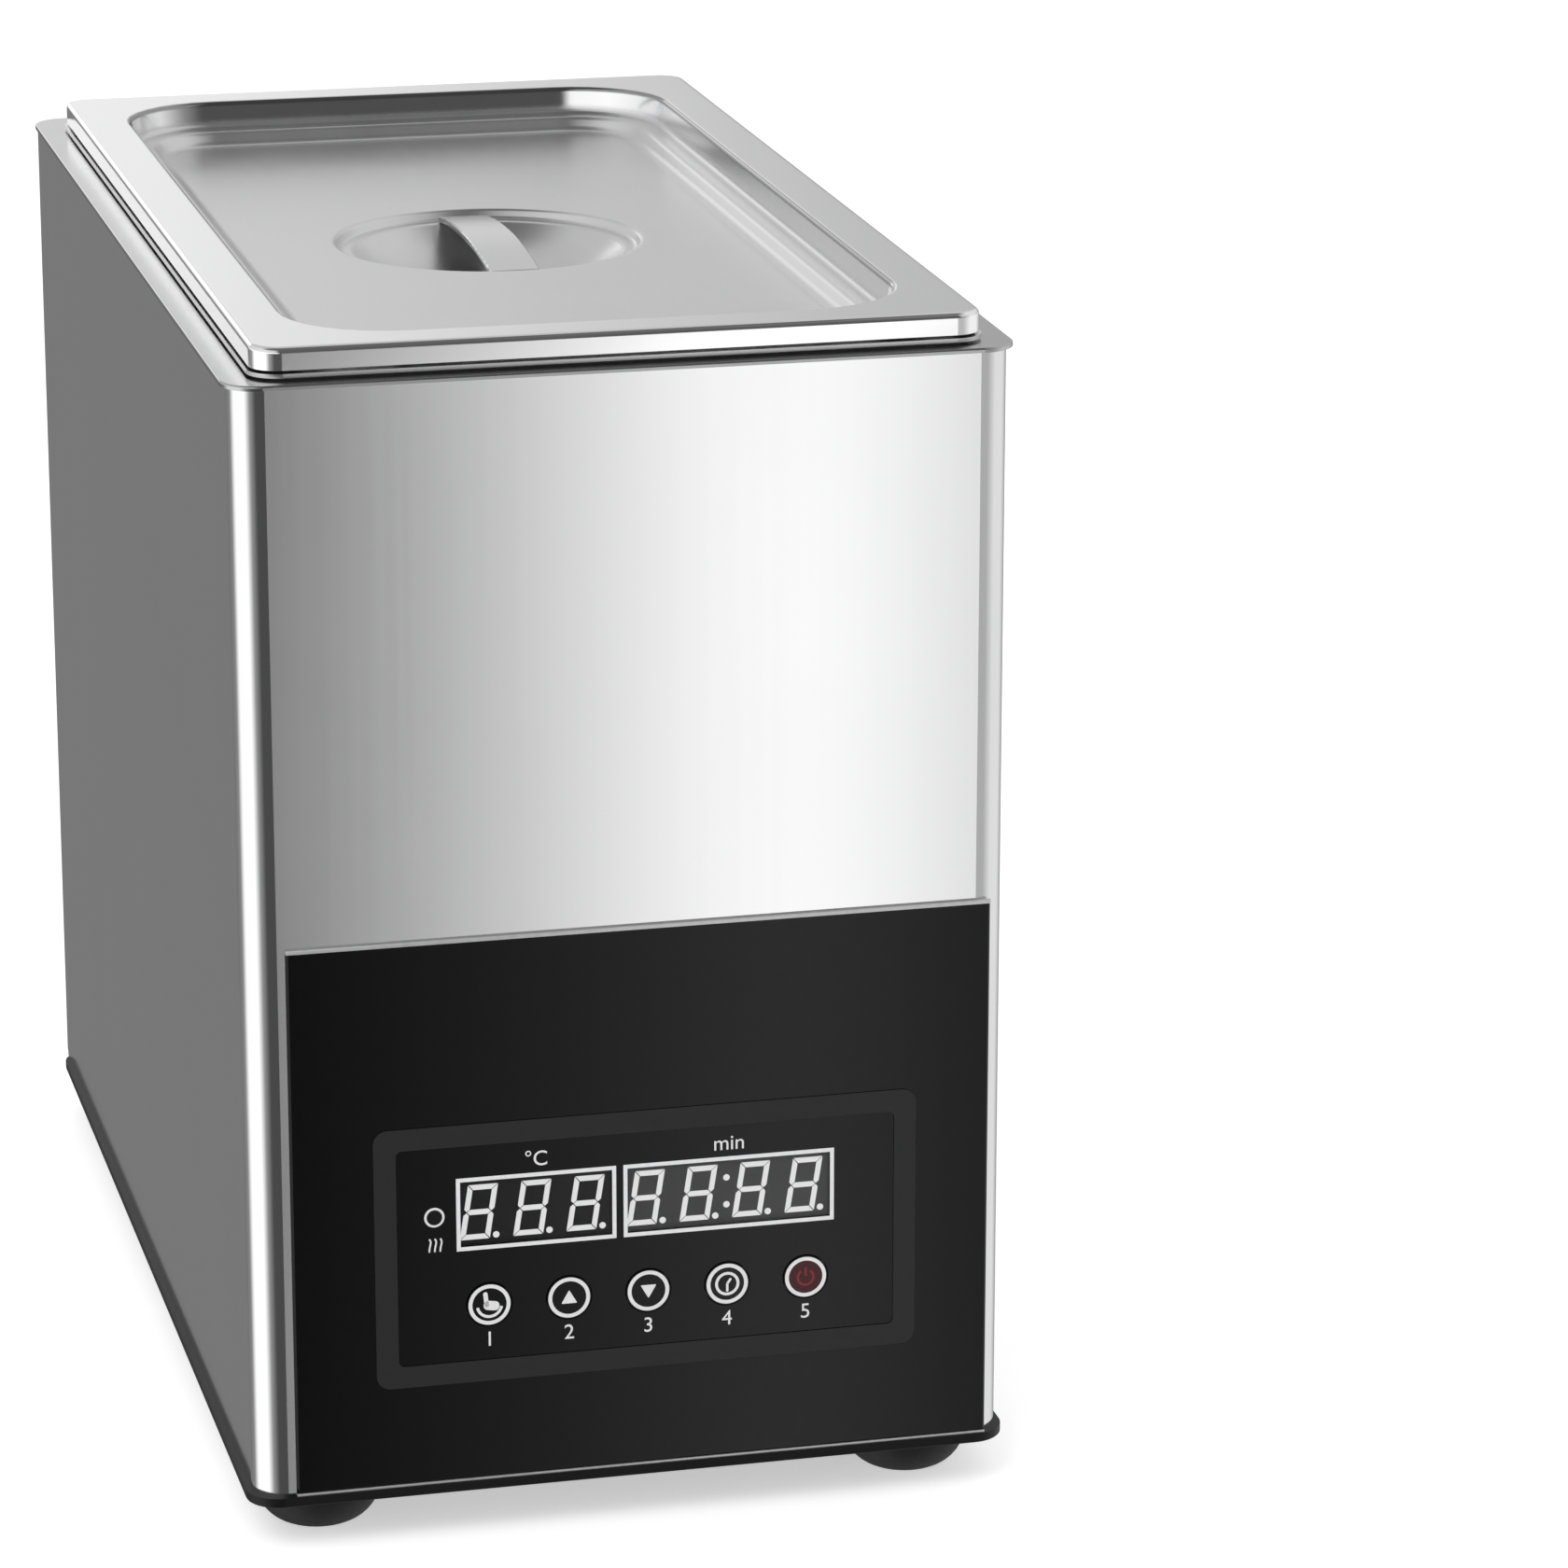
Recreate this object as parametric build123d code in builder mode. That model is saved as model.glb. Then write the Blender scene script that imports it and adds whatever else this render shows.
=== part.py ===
from build123d import *
import math
import os

# Electric egg cooker: a steel box that holds a deep water bath under a lift-off lid.
# Millimetres. X runs to the right seen from the front, Y from the front to the back, Z up.
# The origin is on the table, under the middle of the whole footprint, valve included.

os.makedirs("parts", exist_ok=True)

# Mouth of the water tank, which sets the lid's and the casing's size
MOUTH_WIDTH = 154.0
MOUTH_LENGTH = 303.0
MOUTH_CORNER = 25.0
WELL_GAP = 2.5
LID_BRIM = 11.0
LID_MARGIN = 3.5
LID_SIDE_MARGIN = 6.0
LID_BACK_MARGIN = 11.5
LID_WIDTH = MOUTH_WIDTH + 2 * LID_BRIM
LID_LENGTH = MOUTH_LENGTH + 2 * LID_BRIM

# Casing sheets
CASE_WIDTH = LID_WIDTH + 2 * LID_SIDE_MARGIN
CASE_DEPTH = LID_LENGTH + LID_MARGIN + LID_BACK_MARGIN
CASE_HEIGHT = 276.0
CASE_SHEET = 1.0
CASE_CORNER = 8.0
CASE_FLANGE = 12.0
DECK_THICK = 1.2
DECK_OVERHANG = 1.5
DECK_CORNER = 9.0
BASE_THICK = 2.5
BASE_OVERHANG = 1.5
BASE_CORNER = 8.5
BACK_CORNER = 1.5
EDGE_FILLET = 0.5
HEX_SIDES = 6
QUARTER_TURN = 90

# Feet
FOOT_HEIGHT = 12.0
FOOT_RADIUS = 15.5
FOOT_FLAT = 10.0
FOOT_BAND = 3.5
FOOT_INSET_X = 19.0
FOOT_INSET_Y = 23.0
FOOT_RECESS_RADIUS = 5.5
FOOT_RECESS_DEPTH = 6.5

# Lid, pressed from one sheet
LID_SHEET = 0.8
LID_CORNER = 7.0
LIP_HEIGHT = 5.8
LIP_FILLET = 1.8
WELL_WIDTH = MOUTH_WIDTH - 2 * WELL_GAP
WELL_LENGTH = MOUTH_LENGTH - 2 * WELL_GAP
WELL_CORNER = 23.0
WELL_DRAW = 2.0
FIRST_STEP = 5.0
LEDGE_WIDTH = 2.5
SECOND_STEP = 6.0
WELL_FLOOR_FILLET = 2.0
RECESS_RADIUS = 39.0
RECESS_STEP = 2.5
RECESS_LEDGE = 33.0
BOWL_DEPTH = 17.0
BOWL_FLAT = 9.0
STRAP_WIDTH = 13.0
STRAP_LENGTH = 70.0
STRAP_THICK = 1.6
STRAP_ARCH = 2.5

# Water tank
TANK_SHEET = 1.0
TANK_DEPTH = 150.0
TANK_DRAW = 4.0
TANK_FLOOR_RADIUS = 12.0
RIM_SHOW = 0.6
GASKET_THICK = 0.6
GASKET_WIDTH = 7.0
GASKET_INSET = 2.0
DECK_CLEARANCE = 1.5

# Clearances that several pieces share
SEAT_GAP = 0.2
RUNNING_GAP = 0.08
SLIP_GAP = 0.3
HOLE_GAP = 0.4
WELD_GAP = 0.05

# False bottom and egg basket
FALSE_HEIGHT = 25.0
FALSE_SHEET = 1.0
FALSE_GAP = 3.5
FALSE_CORNER = 16.0
FALSE_HOLE = 5.0
FALSE_HOLE_PITCH = 24.0
FALSE_LEG_WIDTH = 16.0
FALSE_LEG_INSET = 14.0
FALSE_LEG_INSET_Y = 24.0
BASKET_GAP = 9.0
BASKET_HEIGHT = 80.0
BASKET_SHEET = 0.8
BASKET_MARGIN = 18.0
BASKET_RIM = 3.0
BASKET_HOLE = 6.0
BASKET_HOLE_PITCH = 26.0
SLOT_HEIGHT = 52.0
SLOT_WIDTH = 5.0
SLOT_PITCH = 15.0
WIRE_RADIUS = 2.0
HANDLE_SPAN = 76.0
HANDLE_RISE = 13.0
HANDLE_DROP = 42.0
HANDLE_BEND = 9.0

# Heating element
HEATER_RADIUS = 4.0
HEATER_BACK_INSET = 39.5
HEATER_FRONT_INSET = 46.5
HEATER_LIFT = 14.0
HEATER_BEND = 13.0
HEATER_TURN_INSET = 4.0
HEATER_TAIL = 22.0
COLLAR_RADIUS = 9.0
COLLAR_THICK = 3.0
SHANK_RADIUS = 6.5
SHANK_LENGTH = 9.0
SEAL_THICK = 1.5
NUT_THICK = 5.0
NUT_FLATS = 19.0

# Temperature probe and thermal cut-out
PROBE_RADIUS = 3.0
PROBE_LIFT = 18.0
PROBE_TAIL = 18.0
PROBE_COLLAR = 7.0
PROBE_SHANK = 5.0
PROBE_NUT_FLATS = 14.0
CUTOUT_Y = -60.0
CUTOUT_RADIUS = 9.0
CUTOUT_HEIGHT = 8.0
CLIP_LENGTH = 46.0
CLIP_WIDTH = 10.0
CLIP_THICK = 1.0
CLIP_FOOT = 9.0

# Drain pipe and ball valve
PIPE_RADIUS = 8.0
PIPE_BORE = 6.0
PIPE_BEND = 19.0
PIPE_DROP = 32.0
PIPE_FLANGE = 13.5
PIPE_FLANGE_THICK = 2.5
PIPE_SOCKET = 11.0
VALVE_STANDOFF = 3.0
VALVE_RADIUS = 15.0
VALVE_SHOULDER = 2.0
CHAMBER_RADIUS = 11.5
BALL_RADIUS = 10.0
SEAT_DEPTH = 2.3
TAIL_THREAD = 7.0
TAIL_FLANGE = 5.0
TAIL_FLATS = 28.0
HOSE_RADIUS = 7.5
HOSE_LENGTH = 20.0
HOSE_BARB = 0.8
HOSE_BARBS = 3
STEM_RADIUS = 3.0
STEM_POCKET = 2.5
BOSS_RADIUS = 7.0
BOSS_HEIGHT = 4.0
STEM_NUT_FLATS = 14.0
STEM_NUT_THICK = 5.0
LEVER_LENGTH = 72.0
LEVER_WIDTH = 13.0
LEVER_THICK = 2.5
LEVER_EYE = 9.0
SLEEVE_LENGTH = 46.0
SLEEVE_WALL = 1.5
LEVER_NUT_FLATS = 10.0
LEVER_NUT_THICK = 4.0
STEM_TIP = 1.0

# Cable gland, with no cable in it
GLAND_INSET = 36.0
GLAND_Z = 46.0
GLAND_THREAD = 10.0
GLAND_FLATS = 24.0
GLAND_COLLAR = 6.0
GLAND_CAP_RADIUS = 10.5
GLAND_CAP_FILLET = 3.5
GLAND_CAP_LENGTH = 13.0
GLAND_BORE = 4.5
GLAND_INSIDE = 9.0
LOCKNUT_THICK = 5.0

# Back panel
VENT_LENGTH = 26.0
VENT_WIDTH = 3.0
VENT_PITCH = 8.0
VENT_COUNT = 6
VENT_INSET = 48.0
VENT_Z = 62.0
SCREW_RADIUS = 1.5
SCREW_HEAD_RADIUS = 3.0
SCREW_HEAD = 1.8
SCREW_LENGTH = 6.0
SCREW_EDGE = 6.0
SCREW_ROWS = 4
BASE_SCREW_ROWS = 3

# Control panel, placed from the casing's middle and bottom edge
PANEL_LEFT_MARGIN = 10.0
PANEL_RIGHT_MARGIN = 4.5
PANEL_LIFT = 0.6
PANEL_HEIGHT = 139.0
PANEL_THICK = 1.0
CONTROL_X = 3.5
CONTROL_Z = 59.3
BAND_WIDTH = 135.0
BAND_HEIGHT = 66.6
BAND_LINE = 5.5
BAND_PROUD = 0.3
BAND_CORNER = 3.5
BAND_INNER_CORNER = 1.5
WINDOW_WIDTH = 119.0
WINDOW_HEIGHT = 43.0

# Displays
DIGIT_PITCH = 13.2
DIGIT_HEIGHT = 14.0
COLON_RISE = 3.5
DIGIT_WIDTH = 7.4
DIGIT_STROKE = 1.3
DIGIT_SLANT = 9.0
DIGIT_MITRE = 0.15
POINT_RADIUS = 0.8
DISPLAY_HEIGHT = 18.7
DISPLAY_Z = 69.5
DISPLAY_LEFT = -43.8
DISPLAY_GAP = 1.8
DISPLAY_BACKSET = 0.2
FRAME_LINE = 1.0
TEMPERATURE_DIGITS = 3
TIMER_DIGITS = 4
SEGMENT_PROUD = 0.12

# Heating lamp
LAMP_X = -49.2
LAMP_Z = 69.4
LAMP_RADIUS = 1.9
LAMP_RIM = 2.9
LAMP_PROUD = 0.3

# Keys
KEY_NAMES = ("key_set", "key_up", "key_down", "key_timer", "key_power")
KEY_MIDDLE_X = 3.65
KEY_Z = 45.8
KEY_PITCH = 19.8
KEY_RADIUS = 5.5
KEY_PROUD = 0.25
KEY_FLANGE = 1.2
KEY_FLANGE_THICK = 0.8
KEY_STEM = 2.0
KEY_TRAVEL = 0.4
KEY_FREE_GAP = 0.1
SWITCH_SIDE = 6.0
SWITCH_HEIGHT = 3.5
PLUNGER_RADIUS = 1.7
PLUNGER_HEIGHT = 1.2

# Circuit boards
BOARD_WIDTH = 140.0
BOARD_HEIGHT = 66.0
PROBE_LEAD_RISE = 16.5
PROBE_LEAD_TURNS = 4
BOARD_THICK = 1.6
BOARD_DEPTH = 9.2
BOARD_EDGE = 4.5
SPACER_RADIUS = 3.0
POWER_WIDTH = 84.0
POWER_DEPTH = 70.0
POWER_Y = 150.0
POWER_INSET = 64.0
POWER_LIFT = 8.0
POWER_STATION = 21.0
RELAY_SIZE = (20.0, 30.0, 22.0)
TRANSFORMER_SIZE = (30.0, 32.0, 24.0)
TERMINAL_SIZE = (46.0, 20.0, 15.0)
TERMINAL_WELL = 3.0
TERMINAL_WAYS = 3
LEAD_RADIUS = 1.4
LEAD_BEND = 9.0
LEAD_SLACK = 3.0
LEAD_SPACING = 4.2
CABLE_RADIUS = 2.2
CABLE_BEND = 12.0
CABLE_OFFSET = 26.5

# Levels worked out from the sizes above
BASE_Z = FOOT_HEIGHT
CASE_Z = BASE_Z + BASE_THICK
DECK_Z = CASE_Z + CASE_HEIGHT
GASKET_Z = DECK_Z + DECK_THICK
RIM_Z = GASKET_Z + GASKET_THICK
RIM_TOP = RIM_Z + TANK_SHEET
LID_Z = RIM_TOP + SEAT_GAP
LID_TOP = LID_Z + LIP_HEIGHT
LID_FLOOR = LID_TOP - FIRST_STEP - SECOND_STEP
TANK_FLOOR = RIM_TOP - TANK_DEPTH
TANK_BOTTOM = TANK_FLOOR - TANK_SHEET
FALSE_Z = TANK_FLOOR + FALSE_HEIGHT
BASKET_Z = FALSE_Z + FALSE_SHEET + SEAT_GAP
DRAIN_Z = TANK_BOTTOM - PIPE_DROP

# The valve's stretches, one after the other behind the back panel
SOCKET_START = VALVE_STANDOFF
CHAMBER_START = SOCKET_START + PIPE_SOCKET + VALVE_SHOULDER
BALL_MIDDLE = CHAMBER_START + BALL_RADIUS
BODY_END = CHAMBER_START + 2 * BALL_RADIUS + TAIL_THREAD
VALVE_REACH = BODY_END + TAIL_FLANGE + HOSE_LENGTH

FRONT_REACH = max(DECK_OVERHANG, BASE_OVERHANG)
FRONT_Y = (FRONT_REACH - CASE_DEPTH - VALVE_REACH) / 2
BACK_Y = FRONT_Y + CASE_DEPTH
CASE_Y = FRONT_Y + CASE_DEPTH / 2
TANK_Y = FRONT_Y + LID_MARGIN + LID_LENGTH / 2
BALL_Y = BACK_Y + BALL_MIDDLE
GLAND_X = GLAND_INSET - CASE_WIDTH / 2
VENT_X = CASE_WIDTH / 2 - VENT_INSET
POWER_X = CASE_WIDTH / 2 - POWER_INSET

# The drain, a heater leg and the probe share the tank's flat floor with equal gaps
HEATER_BACK = MOUTH_LENGTH / 2 - HEATER_BACK_INSET
HEATER_FRONT = MOUTH_LENGTH / 2 - HEATER_FRONT_INSET
HEATER_Y = TANK_Y + HEATER_BACK
FLAT_HALF = MOUTH_WIDTH / 2 - TANK_DRAW - TANK_FLOOR_RADIUS
FITTING_GAPS = 3
FITTING_GAP = (FLAT_HALF - PIPE_FLANGE - 2 * COLLAR_RADIUS - 2 * PROBE_COLLAR) / FITTING_GAPS
HEATER_X = PIPE_FLANGE + FITTING_GAP + COLLAR_RADIUS
PROBE_X = HEATER_X + COLLAR_RADIUS + FITTING_GAP + PROBE_COLLAR
HEATER_TURN = HEATER_X - HEATER_TURN_INSET
FALSE_LEG_Y = HEATER_BACK - FALSE_LEG_INSET_Y


def level(height):
    """A level plane at this height above the table."""
    return Plane.XY.offset(height)


def front(depth):
    """An upright plane that faces the front, this far behind the casing's front face."""
    return Plane(origin=(0, FRONT_Y + depth, 0), x_dir=(1, 0, 0), z_dir=(0, -1, 0))


def write(piece, label):
    """Labels a finished piece and writes it."""
    piece.label = label
    export_step(piece, f"parts/{label}.step")


def rounded_tub(width, length, corner, top, depth, draw, floor_radius):
    """A solid that fills a pressed pan: a rounded rectangle that draws in towards its floor."""
    with BuildPart() as tub:
        with BuildSketch(level(top)):
            with Locations((0, TANK_Y)):
                RectangleRounded(width, length, corner)
        with BuildSketch(level(top - depth)):
            with Locations((0, TANK_Y)):
                RectangleRounded(width - 2 * draw, length - 2 * draw, corner - draw)
        loft(ruled=True)
        fillet(tub.faces().sort_by(Axis.Z)[0].edges(), floor_radius)
    return tub.part


def casing_outline(inset):
    """The casing seen from above, drawn in by inset, with its two front corners rounded."""
    width = CASE_WIDTH - 2 * inset
    depth = CASE_DEPTH - CASE_SHEET - 2 * inset
    with BuildSketch(mode=Mode.PRIVATE) as outline:
        with Locations((0, FRONT_Y + inset + depth / 2)):
            Rectangle(width, depth)
        fillet(outline.vertices().group_by(Axis.Y)[0], CASE_CORNER - inset)
    return outline.sketch


# Places that several pieces share
FOOT_PLACES = [
    (side * (CASE_WIDTH / 2 - FOOT_INSET_X), y)
    for side in (-1, 1)
    for y in (FRONT_Y + FOOT_INSET_Y, BACK_Y - FOOT_INSET_Y)
]
BACK_SCREW_PITCH = (CASE_HEIGHT - 2 * SCREW_EDGE) / (SCREW_ROWS - 1)
BACK_SCREW_PLACES = [
    (side * (CASE_WIDTH / 2 - SCREW_EDGE), CASE_Z + SCREW_EDGE + row * BACK_SCREW_PITCH)
    for side in (-1, 1)
    for row in range(SCREW_ROWS)
]
BASE_SCREW_PITCH = (CASE_DEPTH - 2 * (FOOT_INSET_Y + 2 * FOOT_RADIUS)) / (BASE_SCREW_ROWS - 1)
BASE_SCREW_PLACES = [
    (
        side * (CASE_WIDTH / 2 - SCREW_EDGE),
        FRONT_Y + FOOT_INSET_Y + 2 * FOOT_RADIUS + row * BASE_SCREW_PITCH,
    )
    for side in (-1, 1)
    for row in range(BASE_SCREW_ROWS)
]
HEATER_PLACES = [(-HEATER_X, HEATER_Y), (HEATER_X, HEATER_Y)]
KEY_PLACES = [
    (KEY_MIDDLE_X + (index - (len(KEY_NAMES) - 1) / 2) * KEY_PITCH, CASE_Z + KEY_Z)
    for index in range(len(KEY_NAMES))
]
BOARD_SPACER_PLACES = [
    (
        CONTROL_X + side * (BOARD_WIDTH / 2 - BOARD_EDGE),
        CASE_Z + CONTROL_Z + rise * (BOARD_HEIGHT / 2 - BOARD_EDGE),
    )
    for side in (-1, 1)
    for rise in (-1, 1)
]
POWER_SPACER_PLACES = [
    (
        POWER_X + side * (POWER_WIDTH / 2 - BOARD_EDGE),
        FRONT_Y + POWER_Y + back * (POWER_DEPTH / 2 - BOARD_EDGE),
    )
    for side in (-1, 1)
    for back in (-1, 1)
]

# Casing wrap: the front and both sides from one bent sheet, with flanges turned inwards
with BuildPart() as casing_wrap:
    with BuildSketch(level(CASE_Z)):
        add(casing_outline(0))
    extrude(amount=CASE_HEIGHT)
    with BuildSketch(level(CASE_Z + CASE_SHEET)):
        add(casing_outline(CASE_SHEET))
    extrude(amount=CASE_HEIGHT - 2 * CASE_SHEET, mode=Mode.SUBTRACT)
    with BuildSketch(level(CASE_Z)):
        with Locations((0, CASE_Y)):
            Rectangle(CASE_WIDTH - 2 * CASE_FLANGE, CASE_DEPTH - 2 * CASE_FLANGE)
    extrude(amount=CASE_HEIGHT, mode=Mode.SUBTRACT)
    with BuildSketch(front(CASE_DEPTH - CASE_SHEET)):
        with Locations((0, CASE_Z + CASE_HEIGHT / 2)):
            Rectangle(CASE_WIDTH - 2 * CASE_FLANGE, CASE_HEIGHT)
    extrude(amount=CASE_FLANGE, mode=Mode.SUBTRACT)
    with BuildSketch(front(0)):
        with Locations((CONTROL_X, CASE_Z + CONTROL_Z)):
            Rectangle(WINDOW_WIDTH, WINDOW_HEIGHT)
    extrude(amount=-CASE_SHEET, mode=Mode.SUBTRACT)
    with BuildSketch(front(CASE_DEPTH - CASE_SHEET)):
        with Locations(*BACK_SCREW_PLACES):
            Circle(SCREW_RADIUS)
    extrude(amount=CASE_SHEET, mode=Mode.SUBTRACT)
    with BuildSketch(level(CASE_Z)):
        with Locations(*BASE_SCREW_PLACES):
            Circle(SCREW_RADIUS)
    extrude(amount=CASE_SHEET, mode=Mode.SUBTRACT)
write(casing_wrap.part, "casing_wrap")

# Back panel, with its vents and the holes for the drain pipe and the cable gland
with BuildPart() as back_panel:
    with BuildSketch(front(CASE_DEPTH)):
        with Locations((0, CASE_Z + CASE_HEIGHT / 2)):
            RectangleRounded(CASE_WIDTH, CASE_HEIGHT, BACK_CORNER)
        with Locations(*BACK_SCREW_PLACES):
            Circle(SCREW_RADIUS, mode=Mode.SUBTRACT)
        with Locations((0, DRAIN_Z)):
            Circle(PIPE_RADIUS + HOLE_GAP, mode=Mode.SUBTRACT)
        with Locations((GLAND_X, CASE_Z + GLAND_Z)):
            Circle(GLAND_THREAD + HOLE_GAP / 2, mode=Mode.SUBTRACT)
        with Locations((VENT_X, CASE_Z + VENT_Z)):
            with GridLocations(0, VENT_PITCH, 1, VENT_COUNT):
                SlotOverall(VENT_LENGTH, VENT_WIDTH, mode=Mode.SUBTRACT)
    extrude(amount=CASE_SHEET)
write(back_panel.part, "back_panel")

# Deck plate on top, with the opening that the tank drops through
DECK_HOLE_WIDTH = MOUTH_WIDTH + 2 * (TANK_SHEET + DECK_CLEARANCE)
DECK_HOLE_LENGTH = MOUTH_LENGTH + 2 * (TANK_SHEET + DECK_CLEARANCE)
DECK_HOLE_CORNER = MOUTH_CORNER + TANK_SHEET + DECK_CLEARANCE
with BuildPart() as deck_plate:
    with BuildSketch(level(DECK_Z)):
        with Locations((0, CASE_Y)):
            RectangleRounded(CASE_WIDTH + 2 * DECK_OVERHANG, CASE_DEPTH + 2 * DECK_OVERHANG, DECK_CORNER)
        with Locations((0, TANK_Y)):
            RectangleRounded(DECK_HOLE_WIDTH, DECK_HOLE_LENGTH, DECK_HOLE_CORNER, mode=Mode.SUBTRACT)
    extrude(amount=DECK_THICK)
    fillet(deck_plate.faces().sort_by(Axis.Z)[-1].outer_wire().edges(), EDGE_FILLET)
write(deck_plate.part, "deck_plate")

# Base plate, which carries the feet and closes the casing
with BuildPart() as base_plate:
    with BuildSketch(level(BASE_Z)):
        with Locations((0, CASE_Y)):
            RectangleRounded(CASE_WIDTH + 2 * BASE_OVERHANG, CASE_DEPTH + 2 * BASE_OVERHANG, BASE_CORNER)
        with Locations(*FOOT_PLACES, *BASE_SCREW_PLACES):
            Circle(SCREW_RADIUS, mode=Mode.SUBTRACT)
        with Locations((0, CASE_Y)):
            with GridLocations(VENT_LENGTH * 2, VENT_PITCH * 2, 2, VENT_COUNT):
                SlotOverall(VENT_LENGTH, VENT_WIDTH, mode=Mode.SUBTRACT)
    extrude(amount=BASE_THICK)
    fillet(base_plate.faces().sort_by(Axis.Z)[0].outer_wire().edges(), EDGE_FILLET)
write(base_plate.part, "base_plate")

# Rubber feet: domes with a flat underside and a recess for the screw
with BuildPart() as feet:
    for foot_x, foot_y in FOOT_PLACES:
        with BuildSketch(Plane(origin=(foot_x, foot_y, 0), x_dir=(1, 0, 0), z_dir=(0, -1, 0))):
            with BuildLine():
                Polyline((0, 0), (FOOT_FLAT, 0))
                TangentArc(
                    (FOOT_RADIUS, FOOT_HEIGHT - FOOT_BAND), (FOOT_FLAT, 0), tangent=(0, -1)
                )
                Polyline(
                    (FOOT_RADIUS, FOOT_HEIGHT - FOOT_BAND),
                    (FOOT_RADIUS, FOOT_HEIGHT),
                    (0, FOOT_HEIGHT),
                    (0, 0),
                )
            make_face()
        revolve(axis=Axis((foot_x, foot_y, 0), (0, 0, 1)))
    with BuildSketch(level(0)):
        with Locations(*FOOT_PLACES):
            Circle(FOOT_RECESS_RADIUS)
    extrude(amount=FOOT_RECESS_DEPTH, mode=Mode.SUBTRACT)
    with BuildSketch(level(0)):
        with Locations(*FOOT_PLACES):
            Circle(SCREW_RADIUS)
    extrude(amount=FOOT_HEIGHT, mode=Mode.SUBTRACT)
write(feet.part, "feet")

# Foot screws: their heads sit in the feet, and they thread into the base plate
with BuildPart() as foot_screws:
    with BuildSketch(level(FOOT_RECESS_DEPTH)):
        with Locations(*FOOT_PLACES):
            Circle(SCREW_HEAD_RADIUS)
    extrude(amount=-SCREW_HEAD)
    with BuildSketch(level(FOOT_RECESS_DEPTH)):
        with Locations(*FOOT_PLACES):
            Circle(SCREW_RADIUS)
    extrude(amount=FOOT_HEIGHT - FOOT_RECESS_DEPTH + BASE_THICK)
write(foot_screws.part, "foot_screws")

# Base screws: up through the base plate into the casing's bottom flange
with BuildPart() as base_screws:
    with BuildSketch(level(BASE_Z)):
        with Locations(*BASE_SCREW_PLACES):
            Circle(SCREW_HEAD_RADIUS)
    extrude(amount=-SCREW_HEAD)
    with BuildSketch(level(BASE_Z)):
        with Locations(*BASE_SCREW_PLACES):
            Circle(SCREW_RADIUS)
    extrude(amount=BASE_THICK + SCREW_LENGTH)
write(base_screws.part, "base_screws")

# Back panel screws: through the panel into the casing's back flanges
with BuildPart() as back_screws:
    with BuildSketch(front(CASE_DEPTH)):
        with Locations(*BACK_SCREW_PLACES):
            Circle(SCREW_HEAD_RADIUS)
    extrude(amount=-SCREW_HEAD)
    with BuildSketch(front(CASE_DEPTH)):
        with Locations(*BACK_SCREW_PLACES):
            Circle(SCREW_RADIUS)
    extrude(amount=SCREW_LENGTH)
write(back_screws.part, "back_screws")

# Water tank: a deep drawn pan whose flange lies on the deck
tank_outside = rounded_tub(
    MOUTH_WIDTH + 2 * TANK_SHEET,
    MOUTH_LENGTH + 2 * TANK_SHEET,
    MOUTH_CORNER + TANK_SHEET,
    RIM_TOP,
    TANK_DEPTH + TANK_SHEET,
    TANK_DRAW,
    TANK_FLOOR_RADIUS + TANK_SHEET,
)
tank_inside = rounded_tub(
    MOUTH_WIDTH, MOUTH_LENGTH, MOUTH_CORNER, RIM_TOP, TANK_DEPTH, TANK_DRAW, TANK_FLOOR_RADIUS
)
with BuildPart() as tank:
    with BuildSketch(level(RIM_Z)):
        with Locations((0, TANK_Y)):
            RectangleRounded(LID_WIDTH + 2 * RIM_SHOW, LID_LENGTH + 2 * RIM_SHOW, LID_CORNER + RIM_SHOW)
    extrude(amount=TANK_SHEET)
    add(tank_outside)
    add(tank_inside, mode=Mode.SUBTRACT)
    with BuildSketch(level(TANK_BOTTOM)):
        with Locations(*HEATER_PLACES):
            Circle(SHANK_RADIUS + HOLE_GAP / 2)
        with Locations((0, HEATER_Y)):
            Circle(PIPE_RADIUS + HOLE_GAP / 2)
        with Locations((PROBE_X, HEATER_Y)):
            Circle(PROBE_SHANK + HOLE_GAP / 2)
    extrude(amount=TANK_SHEET, mode=Mode.SUBTRACT)
write(tank.part, "tank")

# Gasket between the tank's flange and the deck
GASKET_OUTER_WIDTH = LID_WIDTH - 2 * GASKET_INSET
GASKET_OUTER_LENGTH = LID_LENGTH - 2 * GASKET_INSET
with BuildPart() as tank_gasket:
    with BuildSketch(level(GASKET_Z)):
        with Locations((0, TANK_Y)):
            RectangleRounded(GASKET_OUTER_WIDTH, GASKET_OUTER_LENGTH, LID_CORNER)
            RectangleRounded(
                GASKET_OUTER_WIDTH - 2 * GASKET_WIDTH,
                GASKET_OUTER_LENGTH - 2 * GASKET_WIDTH,
                MOUTH_CORNER,
                mode=Mode.SUBTRACT,
            )
    extrude(amount=GASKET_THICK)
write(tank_gasket.part, "tank_gasket")


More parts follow.
